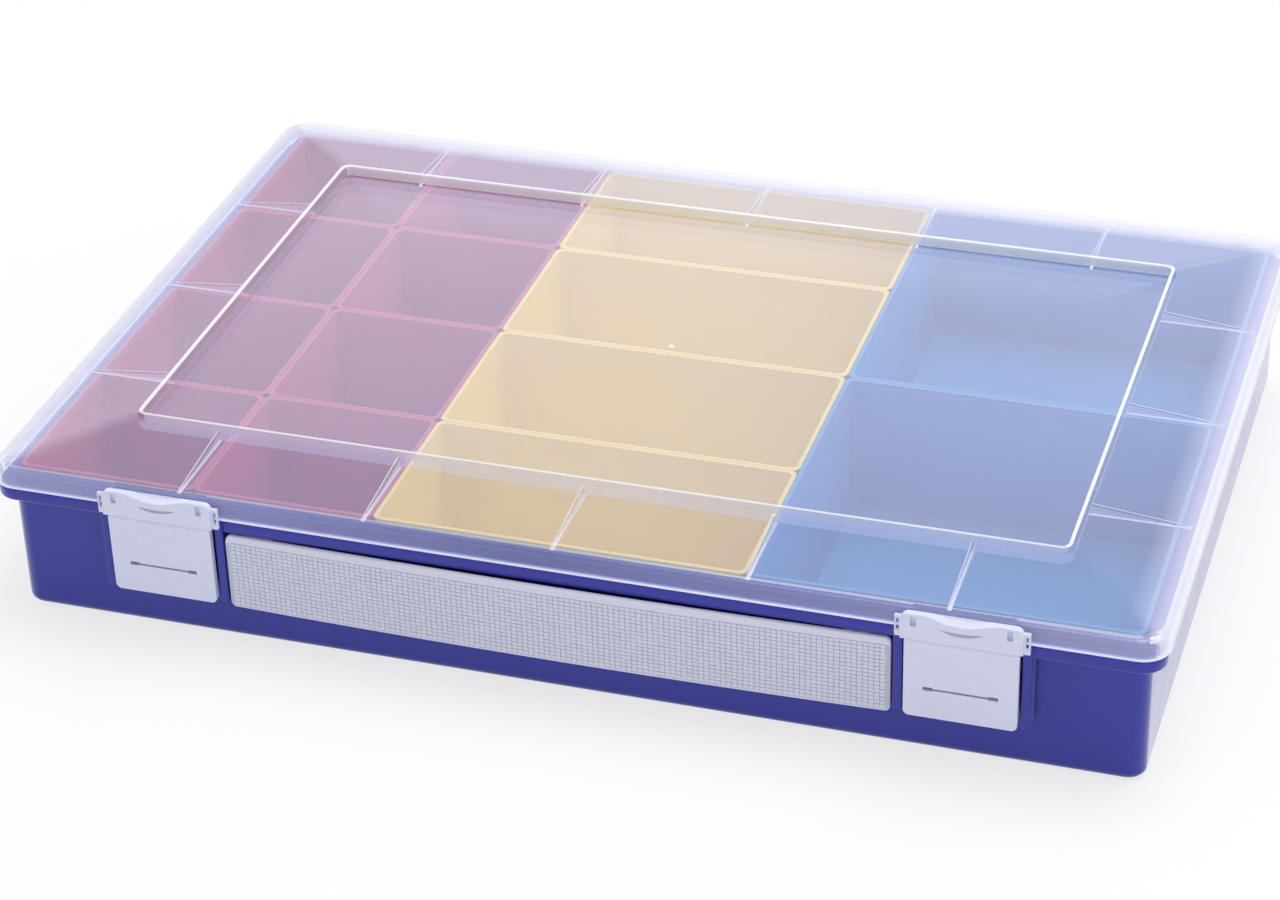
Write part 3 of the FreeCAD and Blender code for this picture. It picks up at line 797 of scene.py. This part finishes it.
def rib_tree():
    """Geometry nodes: one wedge on every point of a straight line, all on one mesh."""
    tree = bpy.data.node_groups.new("ribs_on_a_line", "GeometryNodeTree")
    identifiers = named_inputs(tree, {
        "Blank": "NodeSocketObject",
        "Count": "NodeSocketInt",
        "First": "NodeSocketVector",
        "Pitch": "NodeSocketVector",
        "Finish": "NodeSocketMaterial",
    })
    link = tree.links.new
    given = tree.nodes.new("NodeGroupInput")
    line = tree.nodes.new("GeometryNodeMeshLine")
    link(given.outputs["Count"], line.inputs["Count"])
    link(given.outputs["First"], line.inputs["Start Location"])
    link(given.outputs["Pitch"], line.inputs["Offset"])
    set_on_points(tree, given, line.outputs["Mesh"])
    return tree, identifiers


def rib_wedge(name, outer, inner, turn):
    """A thin wedge from the shoulder to the crest, wider at its root, turned to its side."""
    slope = (under_band - (SHOULDER_Z - LID_WALL)) / (inner - LID_WALL)
    low = SHOULDER_Z - LID_WALL + slope * (outer - LID_WALL)
    half = RIB_THICK / 2
    root = half + RIB_FLARE
    levels = [
        (half, PANEL_LOW, PANEL_LOW),
        (half, max(low - RIB_FLARE, PANEL_LOW + RIB_LEAST), under_band - RIB_FLARE),
        (root, low, under_band),
        (root, low + RIB_SINK, under_band + RIB_SINK),
    ]
    mesh = bmesh.new()
    rings = []
    for x, z_outer, z_inner in levels:
        near = (outer, z_outer)
        far = (inner + RIB_SINK, z_inner)
        corners = [(-x, *near), (x, *near), (x, *far), (-x, *far)]
        rings.append([Vector(corner) for corner in corners])
    skin(mesh, rings)
    bmesh.ops.rotate(mesh, verts=mesh.verts, matrix=Matrix.Rotation(turn, 3, "Z"))
    bmesh.ops.recalc_face_normals(mesh, faces=mesh.faces)
    return plain_object(name, mesh)


tree, identifiers = rib_tree()
rib_pieces = []
sides = {
    "front": (0, 5, wall_y, (0, -LID_HALF[1]), (1, 0)),
    "right": (math.pi / 2, 3, wall_x, (LID_HALF[0], 0), (0, 1)),
    "back": (math.pi, 5, wall_y, (0, LID_HALF[1]), (1, 0)),
    "left": (-math.pi / 2, 3, wall_x, (-LID_HALF[0], 0), (0, 1)),
}
for side, (turn, count, inner, edge, along) in sides.items():
    wedge = rib_wedge("wedge_" + side, RIB_START, inner, turn)
    reach = RIB_PITCH * (count - 1) / 2
    first = Vector((edge[0] - along[0] * reach, edge[1] - along[1] * reach, 0)) * MM
    rib_pieces.append(grown("ribs_" + side, tree, identifiers, {
        "Blank": wedge,
        "Count": count,
        "First": first,
        "Pitch": Vector((*along, 0)) * RIB_PITCH * MM,
        "Finish": lid_clear,
    }))
    bpy.data.objects.remove(wedge)
print("ribs:", sum(len(piece.data.polygons) for piece in rib_pieces) // WEDGE_FACES)

# %% [markdown]
# The lid also carries two square ledges behind the latch clips, hinge knuckles with stub axles
# at the back, notches that the tray's ears stand in, and the small mark in the middle where
# the plastic was let in. Unions and one cut give a single clean solid, as the mould does.

# %% Ledges, knuckles, notches and gate mark
TAB_HALF = 13.8
TAB_DEPTH = 3.2
TAB_HEIGHT = 2.6
TAB_DROP = 0.25
TAB_EDGE = 0.25
GATE_RADIUS = 1.1
GATE_RISE = 0.4
GATE_SIDES = 24
GATE_TAPER = 0.7
WEB_INSET = 0.1
NOTCH_SKIN = 0.5
NOTCH_OVER = 1.0

mesh = bmesh.new()
tab_top = LID_EDGE - TAB_DROP
for x_low, x_high in both_sides(LATCH_X - TAB_HALF, LATCH_X + TAB_HALF):
    tab_high = (x_high, -LID_HALF[1] + TAB_DEPTH, tab_top)
    block(mesh, (x_low, -LID_HALF[1], tab_top - TAB_HEIGHT), tab_high, TAB_EDGE)
bmesh.ops.create_cone(
    mesh,
    cap_ends=True,
    segments=GATE_SIDES,
    radius1=GATE_RADIUS * MM,
    radius2=GATE_RADIUS * GATE_TAPER * MM,
    depth=2 * GATE_RISE * MM,
    matrix=Matrix.Translation((0, 0, PANEL_TOP * MM)),
)
fittings = plain_object("lid_fittings", mesh)

webs, barrels, axles = [bmesh.new() for _ in range(3)]
for middle in (-LATCH_X, LATCH_X):
    x_low = middle - KNUCKLE_HALF
    x_high = middle + KNUCKLE_HALF
    web_low = (x_low + WEB_INSET, LID_HALF[1] - LID_WALL / 2, SKIRT_LOW)
    web_high = (x_high - WEB_INSET, HINGE_Y, HINGE_Z + KNUCKLE_RADIUS - WEB_INSET)
    block(webs, web_low, web_high, 0)
    skin(barrels, [hinge_circle(x, KNUCKLE_RADIUS) for x in (x_low, x_high)])
    axle_ends = (x_low - EAR_THICK, x_high + EAR_THICK)
    skin(axles, [hinge_circle(x, AXLE_RADIUS) for x in axle_ends])
added = [fittings, *rib_pieces]
for name, mesh in (("webs", webs), ("barrels", barrels), ("axles", axles)):
    added.append(plain_object(name, mesh))

mesh = bmesh.new()
notch_end = EAR_START + EAR_THICK + HINGE_GAP
for middle in (-LATCH_X, LATCH_X):
    for x_in, x_out in ((KNUCKLE_HALF, notch_end), (-notch_end, -KNUCKLE_HALF)):
        notch_back = LID_HALF[1] - LID_WALL + NOTCH_SKIN
        notch_low = (middle + x_in, notch_back, SKIRT_LOW - NOTCH_OVER)
        notch_top = HINGE_Z + EAR_RADIUS + HINGE_GAP
        notch_high = (middle + x_out, LID_HALF[1] + NOTCH_OVER, notch_top)
        block(mesh, notch_low, notch_high, 0)
notches = plain_object("notches", mesh)


def carve(target, operation, tool):
    """A boolean with a tool object that is used up."""
    modifier = target.modifiers.new(tool.name, "BOOLEAN")
    modifier.operation = operation
    modifier.solver = "EXACT"
    modifier.object = tool
    baked(target)
    bpy.data.objects.remove(tool)


carve(lid, "DIFFERENCE", notches)
for piece in added:
    carve(lid, "UNION", piece)
print("lid:", len(lid.data.polygons), "faces")

# %% [markdown]
# The sheet is clear but milky, and that haze is its own. Thick edges gather light, so the crest,
# the ribs, the shoulder and the lower edge of the skirt get a larger and whiter share, as painted
# highlights, and the band's share grows towards its outer edge, most at the back, as painted
# light. The front is kept clearer, as painted light, because the light comes from behind. Faces
# are told apart by place and slope, and their corners get a share of frost and painted highlight
# as a number that the finish reads. Cuts round the band and across the middle let that number
# fade between them.

# %% Frost and painted highlights on the lid
# The sheet share is the lid's own haze. The larger shares of the ribs, the gate mark and the
# crest, edge and wall faces are painted highlights, and the lower front shares are painted light
# from behind.
FROST_AND_HIGHLIGHT = {"sheet": 0.18, "rib": 0.28, "under": 0.08, "knuckle": 0.4, "full": 0.8}
FROST_AND_HIGHLIGHT_SIDES = {
    "front": {"skirt": 0.1, "edge": 0.4, "crest": 0.6, "wall": 0.5},
    "side": {"skirt": 0.55, "edge": 0.8, "crest": 0.8, "wall": 0.4},
    "back": {"skirt": 0.6, "edge": 0.8, "crest": 0.8, "wall": 0.7},
}
# Painted light: the band's share grows outwards, more at the sides and most at the back, with a
# further rise for the back band.
FROST_AND_LIGHT_OUTWARDS = {"front": 0.0, "side": 0.28, "back": 0.5}
SKIRT_ENDS = 0.15
BACK_PAINTED_LIGHT = 0.1
FADE_WIDE = 13.0
UPRIGHT = 0.55
LEVEL = 0.97
LINE_SLOPE = 0.93
NEAR = 0.1
SKIRT_EDGE = 0.6
CREST_DEPTH = 0.4
BAND_END = 0.92
CREST_START = 0.97
CREST_END = 1.01
RIB_END = 0.9


def insets(spot):
    """How far a place on the lid lies in from the sides and from the front or back."""
    return LID_HALF[0] - abs(spot.x), LID_HALF[1] - abs(spot.y)


def across_band(spot):
    """How far a place lies across the band, 1 at the crest, and the side that it is on."""
    inset_x, inset_y = insets(spot)
    across_x = inset_x / BAND_SIDE
    across_y = inset_y / BAND_FRONT
    if across_x < across_y:
        return across_x, "side"
    return across_y, "front" if spot.y < 0 else "back"


def part_of_lid(spot, normal):
    """What part of the lid a face belongs to, from its middle in millimetres."""
    across, side = across_band(spot)
    upright = abs(normal.z) < UPRIGHT
    if abs(spot.y) > LID_HALF[1] + 2 * NEAR:
        return "knuckle"
    if spot.z > PANEL_TOP + NEAR and math.hypot(spot.x, spot.y) < 2 * GATE_RADIUS:
        return "full"
    if min(insets(spot)) < LID_ROUND and abs(normal.z) < LEVEL:
        on_line = side == "front" and LINE_SLOPE < normal.z
        return "edge" if on_line or spot.z < SKIRT_LOW + SKIRT_EDGE else "skirt"
    if across > CREST_START and spot.z > CREST_TOP - CREST_DEPTH:
        return "crest"
    if across > BAND_END and upright:
        return "wall" if across > CREST_END else "under"
    if upright:
        return "rib"
    rib_foot = normal.z < 0 and spot.z < PANEL_LOW + NEAR / 2 and across < RIB_END
    rib_root = across < CREST_START and abs(normal.z) < LEVEL
    return "full" if rib_foot or rib_root else "sheet"


def frost_and_highlight_at(part, side, spot):
    """Frost and painted highlight at one corner of a face. Sheet and front skirt get a larger
    share towards the outside, as painted light.
    """
    if part == "sheet":
        near_edge = max(0, 1 - min(insets(spot)) / FADE_WIDE)
        across, near_side = across_band(spot)
        behind = BACK_PAINTED_LIGHT if near_side == "back" and across < 1 else 0
        return FROST_AND_HIGHLIGHT["sheet"] + FROST_AND_LIGHT_OUTWARDS[near_side] * near_edge + behind
    share = FROST_AND_HIGHLIGHT[part] if part in FROST_AND_HIGHLIGHT else FROST_AND_HIGHLIGHT_SIDES[side][part]
    if part == "skirt" and side == "front":
        share += SKIRT_ENDS * abs(spot.x) / LID_HALF[0]
    return share


mesh = bmesh.new()
mesh.from_mesh(lid.data)
cuts = [((1, 0, 0), sign * (LID_HALF[0] - FADE_WIDE)) for sign in (-1, 0, 1)]
cuts += [((0, 1, 0), sign * (LID_HALF[1] - FADE_WIDE)) for sign in (-1, 1)]
for axis, place in cuts:
    bmesh.ops.bisect_plane(
        mesh,
        geom=[*mesh.verts, *mesh.edges, *mesh.faces],
        plane_co=Vector(axis) * place * MM,
        plane_no=axis,
    )
mesh.to_mesh(lid.data)
mesh.free()
shaded(lid)
frost = lid.data.attributes.new("frost", "FLOAT", "CORNER")
for face in lid.data.polygons:
    part = part_of_lid(face.center / MM, face.normal)
    side = across_band(face.center / MM)[1]
    for corner in face.loop_indices:
        spot = lid.data.vertices[lid.data.loops[corner].vertex_index].co / MM
        frost.data[corner].value = frost_and_highlight_at(part, side, spot)
settle(lid, lid_clear, "lid", "lid_clear", "lid")

# %% [markdown]
# ## Latches
# A latch is a white clip that sits on the lid's skirt and a flap that hangs from it. Their
# shapes are already right in the frame, with tongue, finger recess, slit and hook, so a copy
# of each solid only gets its edges rounded. The copy is merged first, because the frame's
# meshes are loose triangles. The flap's narrow slit and bead leave room for the finest
# rounding only.

# %% Latches
LATCH_COLOUR = (0.67, 0.69, 0.85)
LATCH_ROUGH = 0.26
MERGE_REACH = 0.002
FLAT_ANGLE = math.radians(1)
EDGE_ANGLE = math.radians(35)
CLIP_EASE = 0.2
FLAP_EASE = 0.025


def softened(node, name, width):
    """A copy of a solid with rounded edges."""
    mesh = bmesh.new()
    mesh.from_mesh(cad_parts[node].data)
    bmesh.ops.remove_doubles(mesh, verts=mesh.verts, dist=MERGE_REACH * MM)
    bmesh.ops.dissolve_limit(mesh, angle_limit=FLAT_ANGLE, verts=mesh.verts, edges=mesh.edges)
    thing = plain_object(name, mesh)
    edges = thing.modifiers.new("edges", "BEVEL")
    edges.width = width * MM
    edges.segments = 2
    edges.limit_method = "ANGLE"
    edges.angle_limit = EDGE_ANGLE
    edges.use_clamp_overlap = False
    edges.loop_slide = False
    return shaded(baked(thing))


latch_white = moulded_plastic("latch_white_plastic", LATCH_COLOUR, LATCH_ROUGH)
for side in ("left", "right"):
    clip = softened("latch_clip_" + side, f"latch_clip_{side}_moulding", CLIP_EASE)
    settle(clip, latch_white, "lid", "latch_white", "latch_clip_" + side)
    flap = softened("latch_flap_" + side, f"latch_flap_{side}_moulding", FLAP_EASE)
    settle(flap, latch_white, "latch_" + side, "latch_white", "latch_flap_" + side)

# %% [markdown]
# ## Carrying strap
# The strap is a soft grey band, held at both ends and bowed out in the middle. It bends when a
# hand pulls it, so it is made in two halves, each with many stations along its length. A
# border, broad along the top and narrow elsewhere, runs round a sunk field, which carries the
# woven grain.

# %% Strap halves
STRAP_COLOUR = (0.66, 0.67, 0.79)
STRAP_ROUGH = 0.42
# Painted shade: the sunk field, seen between the pillows, is this darker grey, so the grooves
# look shaded.
GROOVE_SHADE_COLOUR = (0.46, 0.48, 0.58)
GROOVE_SHADE_ROUGH = 0.5
STRAP_THICK = 2.0
STRAP_BOW = 1.6
STRAP_CORNER = 1.6
STRAP_EDGE = 0.6
EDGE_CUT = 0.3
TOP_BORDER = 2.2
FOOT_BORDER = 0.9
END_BORDER = 1.0
FIELD_SINK = 0.3
FIELD_SLOPE = 0.25
FIELD_FACING = 0.9
FIELD_REACH = 1.0
STATIONS = 36
END_TURNS = 6
END_CLEAR = 1.0
LUG_REACH = 1.9
LUG_SUNK = 0.8
strap_half = strap_high.x
strap_face = strap_low.y
strap_mid_z = (strap_low.z + strap_high.z) / 2
strap_tall = strap_high.z - strap_low.z
field_mid_z = strap_mid_z + (FOOT_BORDER - TOP_BORDER) / 2


def bow(x):
    """How far the strap's face stands back from its foremost line at x."""
    return STRAP_BOW * (x / strap_half) ** 2


def strap_section(x):
    """One closed section of the strap: front with its sunk field, then round the back."""
    from_end = strap_half - abs(x)
    tall = strap_tall / 2
    if from_end < STRAP_CORNER:
        lost = STRAP_CORNER - from_end
        tall -= STRAP_CORNER - math.sqrt(STRAP_CORNER ** 2 - lost ** 2)
    sink = FIELD_SINK * min(1, max(0, (from_end - END_BORDER) / FIELD_SLOPE))
    front = strap_face + bow(x)
    back = front + STRAP_THICK
    ease = STRAP_EDGE
    cut = ease * EDGE_CUT

    def margin(border):
        field = min(strap_tall / 2 - border, tall - ease - FIELD_SLOPE)
        return [
            (front + ease, tall),
            (front + cut, tall - cut),
            (front, tall - ease),
            (front, field + FIELD_SLOPE),
            (front + sink, field),
        ]

    rear = [(back, tall - ease), (back - cut, tall - cut), (back - ease, tall)]
    outline = margin(TOP_BORDER) + [(y, -z) for y, z in reversed(margin(FOOT_BORDER))]
    outline += [(y, -z) for y, z in reversed(rear)] + rear
    return [Vector((x, y, strap_mid_z + z)) for y, z in outline]


def strap_stations():
    """Places along one half, closer together at the rounded end."""
    even = [strap_half * step / STATIONS for step in range(STATIONS)]
    inner = [x for x in even if x < strap_half - STRAP_CORNER - END_CLEAR]
    turns = [math.pi / 2 * step / END_TURNS for step in range(END_TURNS + 1)]
    end = [strap_half - STRAP_CORNER * (1 - math.sin(turn)) for turn in turns]
    end += [strap_half - END_BORDER - FIELD_SLOPE, strap_half - END_BORDER]
    return inner + sorted(end)


def strap_piece(side, sign):
    """One half of the strap with the lug that holds its end."""
    mesh = bmesh.new()
    skin(mesh, [strap_section(sign * x) for x in strap_stations()])
    lug_y = strap_face + bow(lug_x) + STRAP_THICK
    x_low, x_high = sorted((sign * (lug_x - LUG_HALF), sign * (lug_x + LUG_HALF)))
    lug_high = (x_high, strap_face + STRAP_BOW + STRAP_THICK + LUG_REACH, strap_high.z)
    block(mesh, (x_low, lug_y - LUG_SUNK, lug_low), lug_high)
    bmesh.ops.recalc_face_normals(mesh, faces=mesh.faces)
    half = shaded(plain_object("strap_half_" + side, mesh))
    half.data.materials.append(strap_grey)
    half.data.materials.append(strap_groove_shade)
    # Painted shade: the field faces take the darker groove finish.
    for face in half.data.polygons:
        off_middle = abs(face.center.z / MM - field_mid_z)
        on_field = face.normal.y < -FIELD_FACING and off_middle < FIELD_REACH
        face.material_index = 1 if on_field else 0
    return half


strap_grey = moulded_plastic("strap_grey_plastic", STRAP_COLOUR, STRAP_ROUGH)
strap_groove_shade = moulded_plastic("strap_groove_plastic", GROOVE_SHADE_COLOUR, GROOVE_SHADE_ROUGH)
strap_pieces = {}
for side, sign in (("left", -1), ("right", 1)):
    strap_pieces[side] = strap_piece(side, sign)
    print("strap", side, len(strap_pieces[side].data.polygons), "faces")

# %% [markdown]
# ## Woven grain of the strap
# Small pillows in rows and columns, with thin grooves between them, give the look of a
# plain weave that the mould prints into the strap. The sunk field between the pillows is
# painted darker, as painted shade in the grooves. There are far too many to place by hand, so
# a geometry tree sets one low pillow on each point of a grid, each a little uneven in size as
# threads are, and the grid then takes the bow.

# %% Woven grain
PILLOW_RISE = 0.28
PILLOW_LEVELS = [(0.45, 0.0), (0.43, 0.75), (0.36, 1.0)]
PILLOW_LEAST = (0.92, 0.7, 0.92)
PILLOW_MOST = (1.06, 1.05, 1.06)
CELL_AIM = (1.55, 1.2)
field_wide = strap_half - END_BORDER - FIELD_SLOPE
field_tall = strap_tall - TOP_BORDER - FOOT_BORDER
columns = round(field_wide / CELL_AIM[0])
rows = round(field_tall / CELL_AIM[1])
CELL_WIDE = field_wide / columns
CELL_TALL = field_tall / rows


def pillow_blank():
    """A low pillow with bevelled sides, one cell in size, facing the front."""
    mesh = bmesh.new()
    rings = []
    for share, rise in PILLOW_LEVELS:
        x = share * CELL_WIDE
        z = share * CELL_TALL
        y = -rise * PILLOW_RISE
        corners = [(-x, y, -z), (x, y, -z), (x, y, z), (-x, y, z)]
        rings.append([Vector(corner) for corner in corners])
    skin(mesh, rings)
    bmesh.ops.recalc_face_normals(mesh, faces=mesh.faces)
    return plain_object("pillow", mesh)


def weave_tree():
    """Geometry nodes: one pillow on each point of an upright grid, all on one mesh."""
    tree = bpy.data.node_groups.new("woven_grain", "GeometryNodeTree")
    identifiers = named_inputs(tree, {
        "Blank": "NodeSocketObject",
        "Columns": "NodeSocketInt",
        "Rows": "NodeSocketInt",
        "Width": "NodeSocketFloat",
        "Height": "NodeSocketFloat",
        "Middle": "NodeSocketVector",
        "Finish": "NodeSocketMaterial",
    })
    new = tree.nodes.new
    link = tree.links.new
    given = new("NodeGroupInput")
    grid = new("GeometryNodeMeshGrid")
    link(given.outputs["Width"], grid.inputs["Size X"])
    link(given.outputs["Height"], grid.inputs["Size Y"])
    link(given.outputs["Columns"], grid.inputs["Vertices X"])
    link(given.outputs["Rows"], grid.inputs["Vertices Y"])
    upright = new("GeometryNodeTransform")
    upright.inputs["Rotation"].default_value = (math.pi / 2, 0, 0)
    link(grid.outputs["Mesh"], upright.inputs["Geometry"])
    link(given.outputs["Middle"], upright.inputs["Translation"])
    place = set_on_points(tree, given, upright.outputs["Geometry"])
    uneven = new("FunctionNodeRandomValue")
    uneven.data_type = "FLOAT_VECTOR"
    uneven.inputs["Min"].default_value = PILLOW_LEAST
    uneven.inputs["Max"].default_value = PILLOW_MOST
    link(uneven.outputs["Value"], place.inputs["Scale"])
    return tree, identifiers


pillow = pillow_blank()
tree, identifiers = weave_tree()
for side, sign in (("left", -1), ("right", 1)):
    middle = Vector((sign * columns * CELL_WIDE / 2, strap_face + FIELD_SINK, field_mid_z))
    weave = grown("strap_grain_" + side, tree, identifiers, {
        "Blank": pillow,
        "Columns": columns,
        "Rows": rows,
        "Width": (columns - 1) * CELL_WIDE * MM,
        "Height": (rows - 1) * CELL_TALL * MM,
        "Middle": middle * MM,
        "Finish": strap_grey,
    })
    for vertex in weave.data.vertices:
        vertex.co.y += bow(vertex.co.x / MM) * MM
    strap_pieces["grain_" + side] = weave
    print(weave.name, len(weave.data.polygons), "faces")
bpy.data.objects.remove(pillow)

# %% Strap pieces left where they were built, and the frame's strap hidden
for word, thing in strap_pieces.items():
    sign = -1 if word.endswith("left") else 1
    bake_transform(thing)
    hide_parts("carry_strap")

# %% [markdown]
# ## Studio
# The box stands on a white table in a bright white room. The room is a world colour that is
# white near the horizon and dimmer overhead, with a brighter card behind, which the lid's panel
# mirrors. One large soft lamp from above gives the walls their direction. The floor takes the
# soft shadow of the box.

# %% Room, lamp and floor
CARD_SIDE = Vector((-0.28, 0.96, 0.0)).normalized()
CARD_SPREAD = (0.62, 0.74)
CARD_LIGHT = 1.2
CARD_LEVELS = [math.sin(math.radians(angle)) for angle in (21, 27, 33.5)]
SKY_LEVELS = [math.sin(math.radians(angle)) for angle in (32, 41)]
SKY_LIGHT = (1.0, 0.35)
ROOM_COLOUR = (0.97, 0.97, 1.0)
LAMP_PLACE = Vector((0.35, 0.35, 1.5))
LAMP_SIZE = 1.3
LAMP_POWER = 18.0
FLOOR_COLOUR = (0.92, 0.92, 0.93)
FLOOR_ROUGH = 0.9
FLOOR_GLOW = 0.72
FLOOR_HALF = 6.0
FLOOR_DROP = 0.0002


def studio_world():
    """White towards the horizon, brighter behind, dimmer overhead, plain white for the camera."""
    world = bpy.data.worlds.new("studio")
    scene.world = world
    world.use_nodes = True
    tree = world.node_tree
    back = tree.nodes["Background"]
    where = tree.nodes.new("ShaderNodeTexCoord")
    parts = tree.nodes.new("ShaderNodeSeparateXYZ")
    towards = tree.nodes.new("ShaderNodeVectorMath")
    towards.operation = "DOT_PRODUCT"
    towards.inputs[1].default_value = CARD_SIDE
    path = tree.nodes.new("ShaderNodeLightPath")
    tree.links.new(where.outputs["Generated"], parts.inputs["Vector"])
    tree.links.new(where.outputs["Generated"], towards.inputs[0])
    up = parts.outputs["Z"]
    foot, middle, top = CARD_LEVELS
    level = sums(tree, "MINIMUM", fade(tree, up, foot, middle), fade(tree, up, top, middle))
    across = fade(tree, towards.outputs["Value"], *CARD_SPREAD, 0.0, CARD_LIGHT)
    card = sums(tree, "MULTIPLY", level, across)
    sky = fade(tree, up, *SKY_LEVELS, *SKY_LIGHT)
    room = sums(tree, "ADD", sky, card)
    seen = sums(tree, "MAXIMUM", room, path.outputs["Is Camera Ray"])
    tree.links.new(seen, back.inputs["Strength"])
    back.inputs["Color"].default_value = (*ROOM_COLOUR, 1)


def soft_lamp(name):
    """A large area lamp that looks at the box."""
    lamp = bpy.data.lights.new(name, "AREA")
    lamp.size = LAMP_SIZE
    lamp.energy = LAMP_POWER
    thing = bpy.data.objects.new(name, lamp)
    thing.location = LAMP_PLACE
    thing.rotation_mode = "QUATERNION"
    thing.rotation_quaternion = (-LAMP_PLACE).to_track_quat("-Z", "Y")
    scene.collection.objects.link(thing)


def floor_finish():
    """White table: lit by the room, and lifted to white where the camera or a gloss sees it."""
    material, tree, shader = fresh_material("floor_white")
    shader.inputs["Base Color"].default_value = (*FLOOR_COLOUR, 1)
    shader.inputs["Roughness"].default_value = FLOOR_ROUGH
    shader.inputs["Specular IOR Level"].default_value = 0.0
    glow = tree.nodes.new("ShaderNodeEmission")
    path = tree.nodes.new("ShaderNodeLightPath")
    seen = sums(tree, "MAXIMUM", path.outputs["Is Camera Ray"], path.outputs["Is Glossy Ray"])
    share = sums(tree, "MULTIPLY", seen, FLOOR_GLOW)
    surface = shader_mix(tree, share, shader.outputs["BSDF"], glow.outputs["Emission"])
    tree.links.new(surface, tree.nodes["Material Output"].inputs["Surface"])
    return material


studio_world()
soft_lamp("overhead_lamp")
mesh = bmesh.new()
bmesh.ops.create_grid(mesh, x_segments=1, y_segments=1, size=FLOOR_HALF)
floor = plain_object("floor", mesh)
floor.location.z = -FLOOR_DROP
floor.data.materials.append(floor_finish())
print("studio ready")
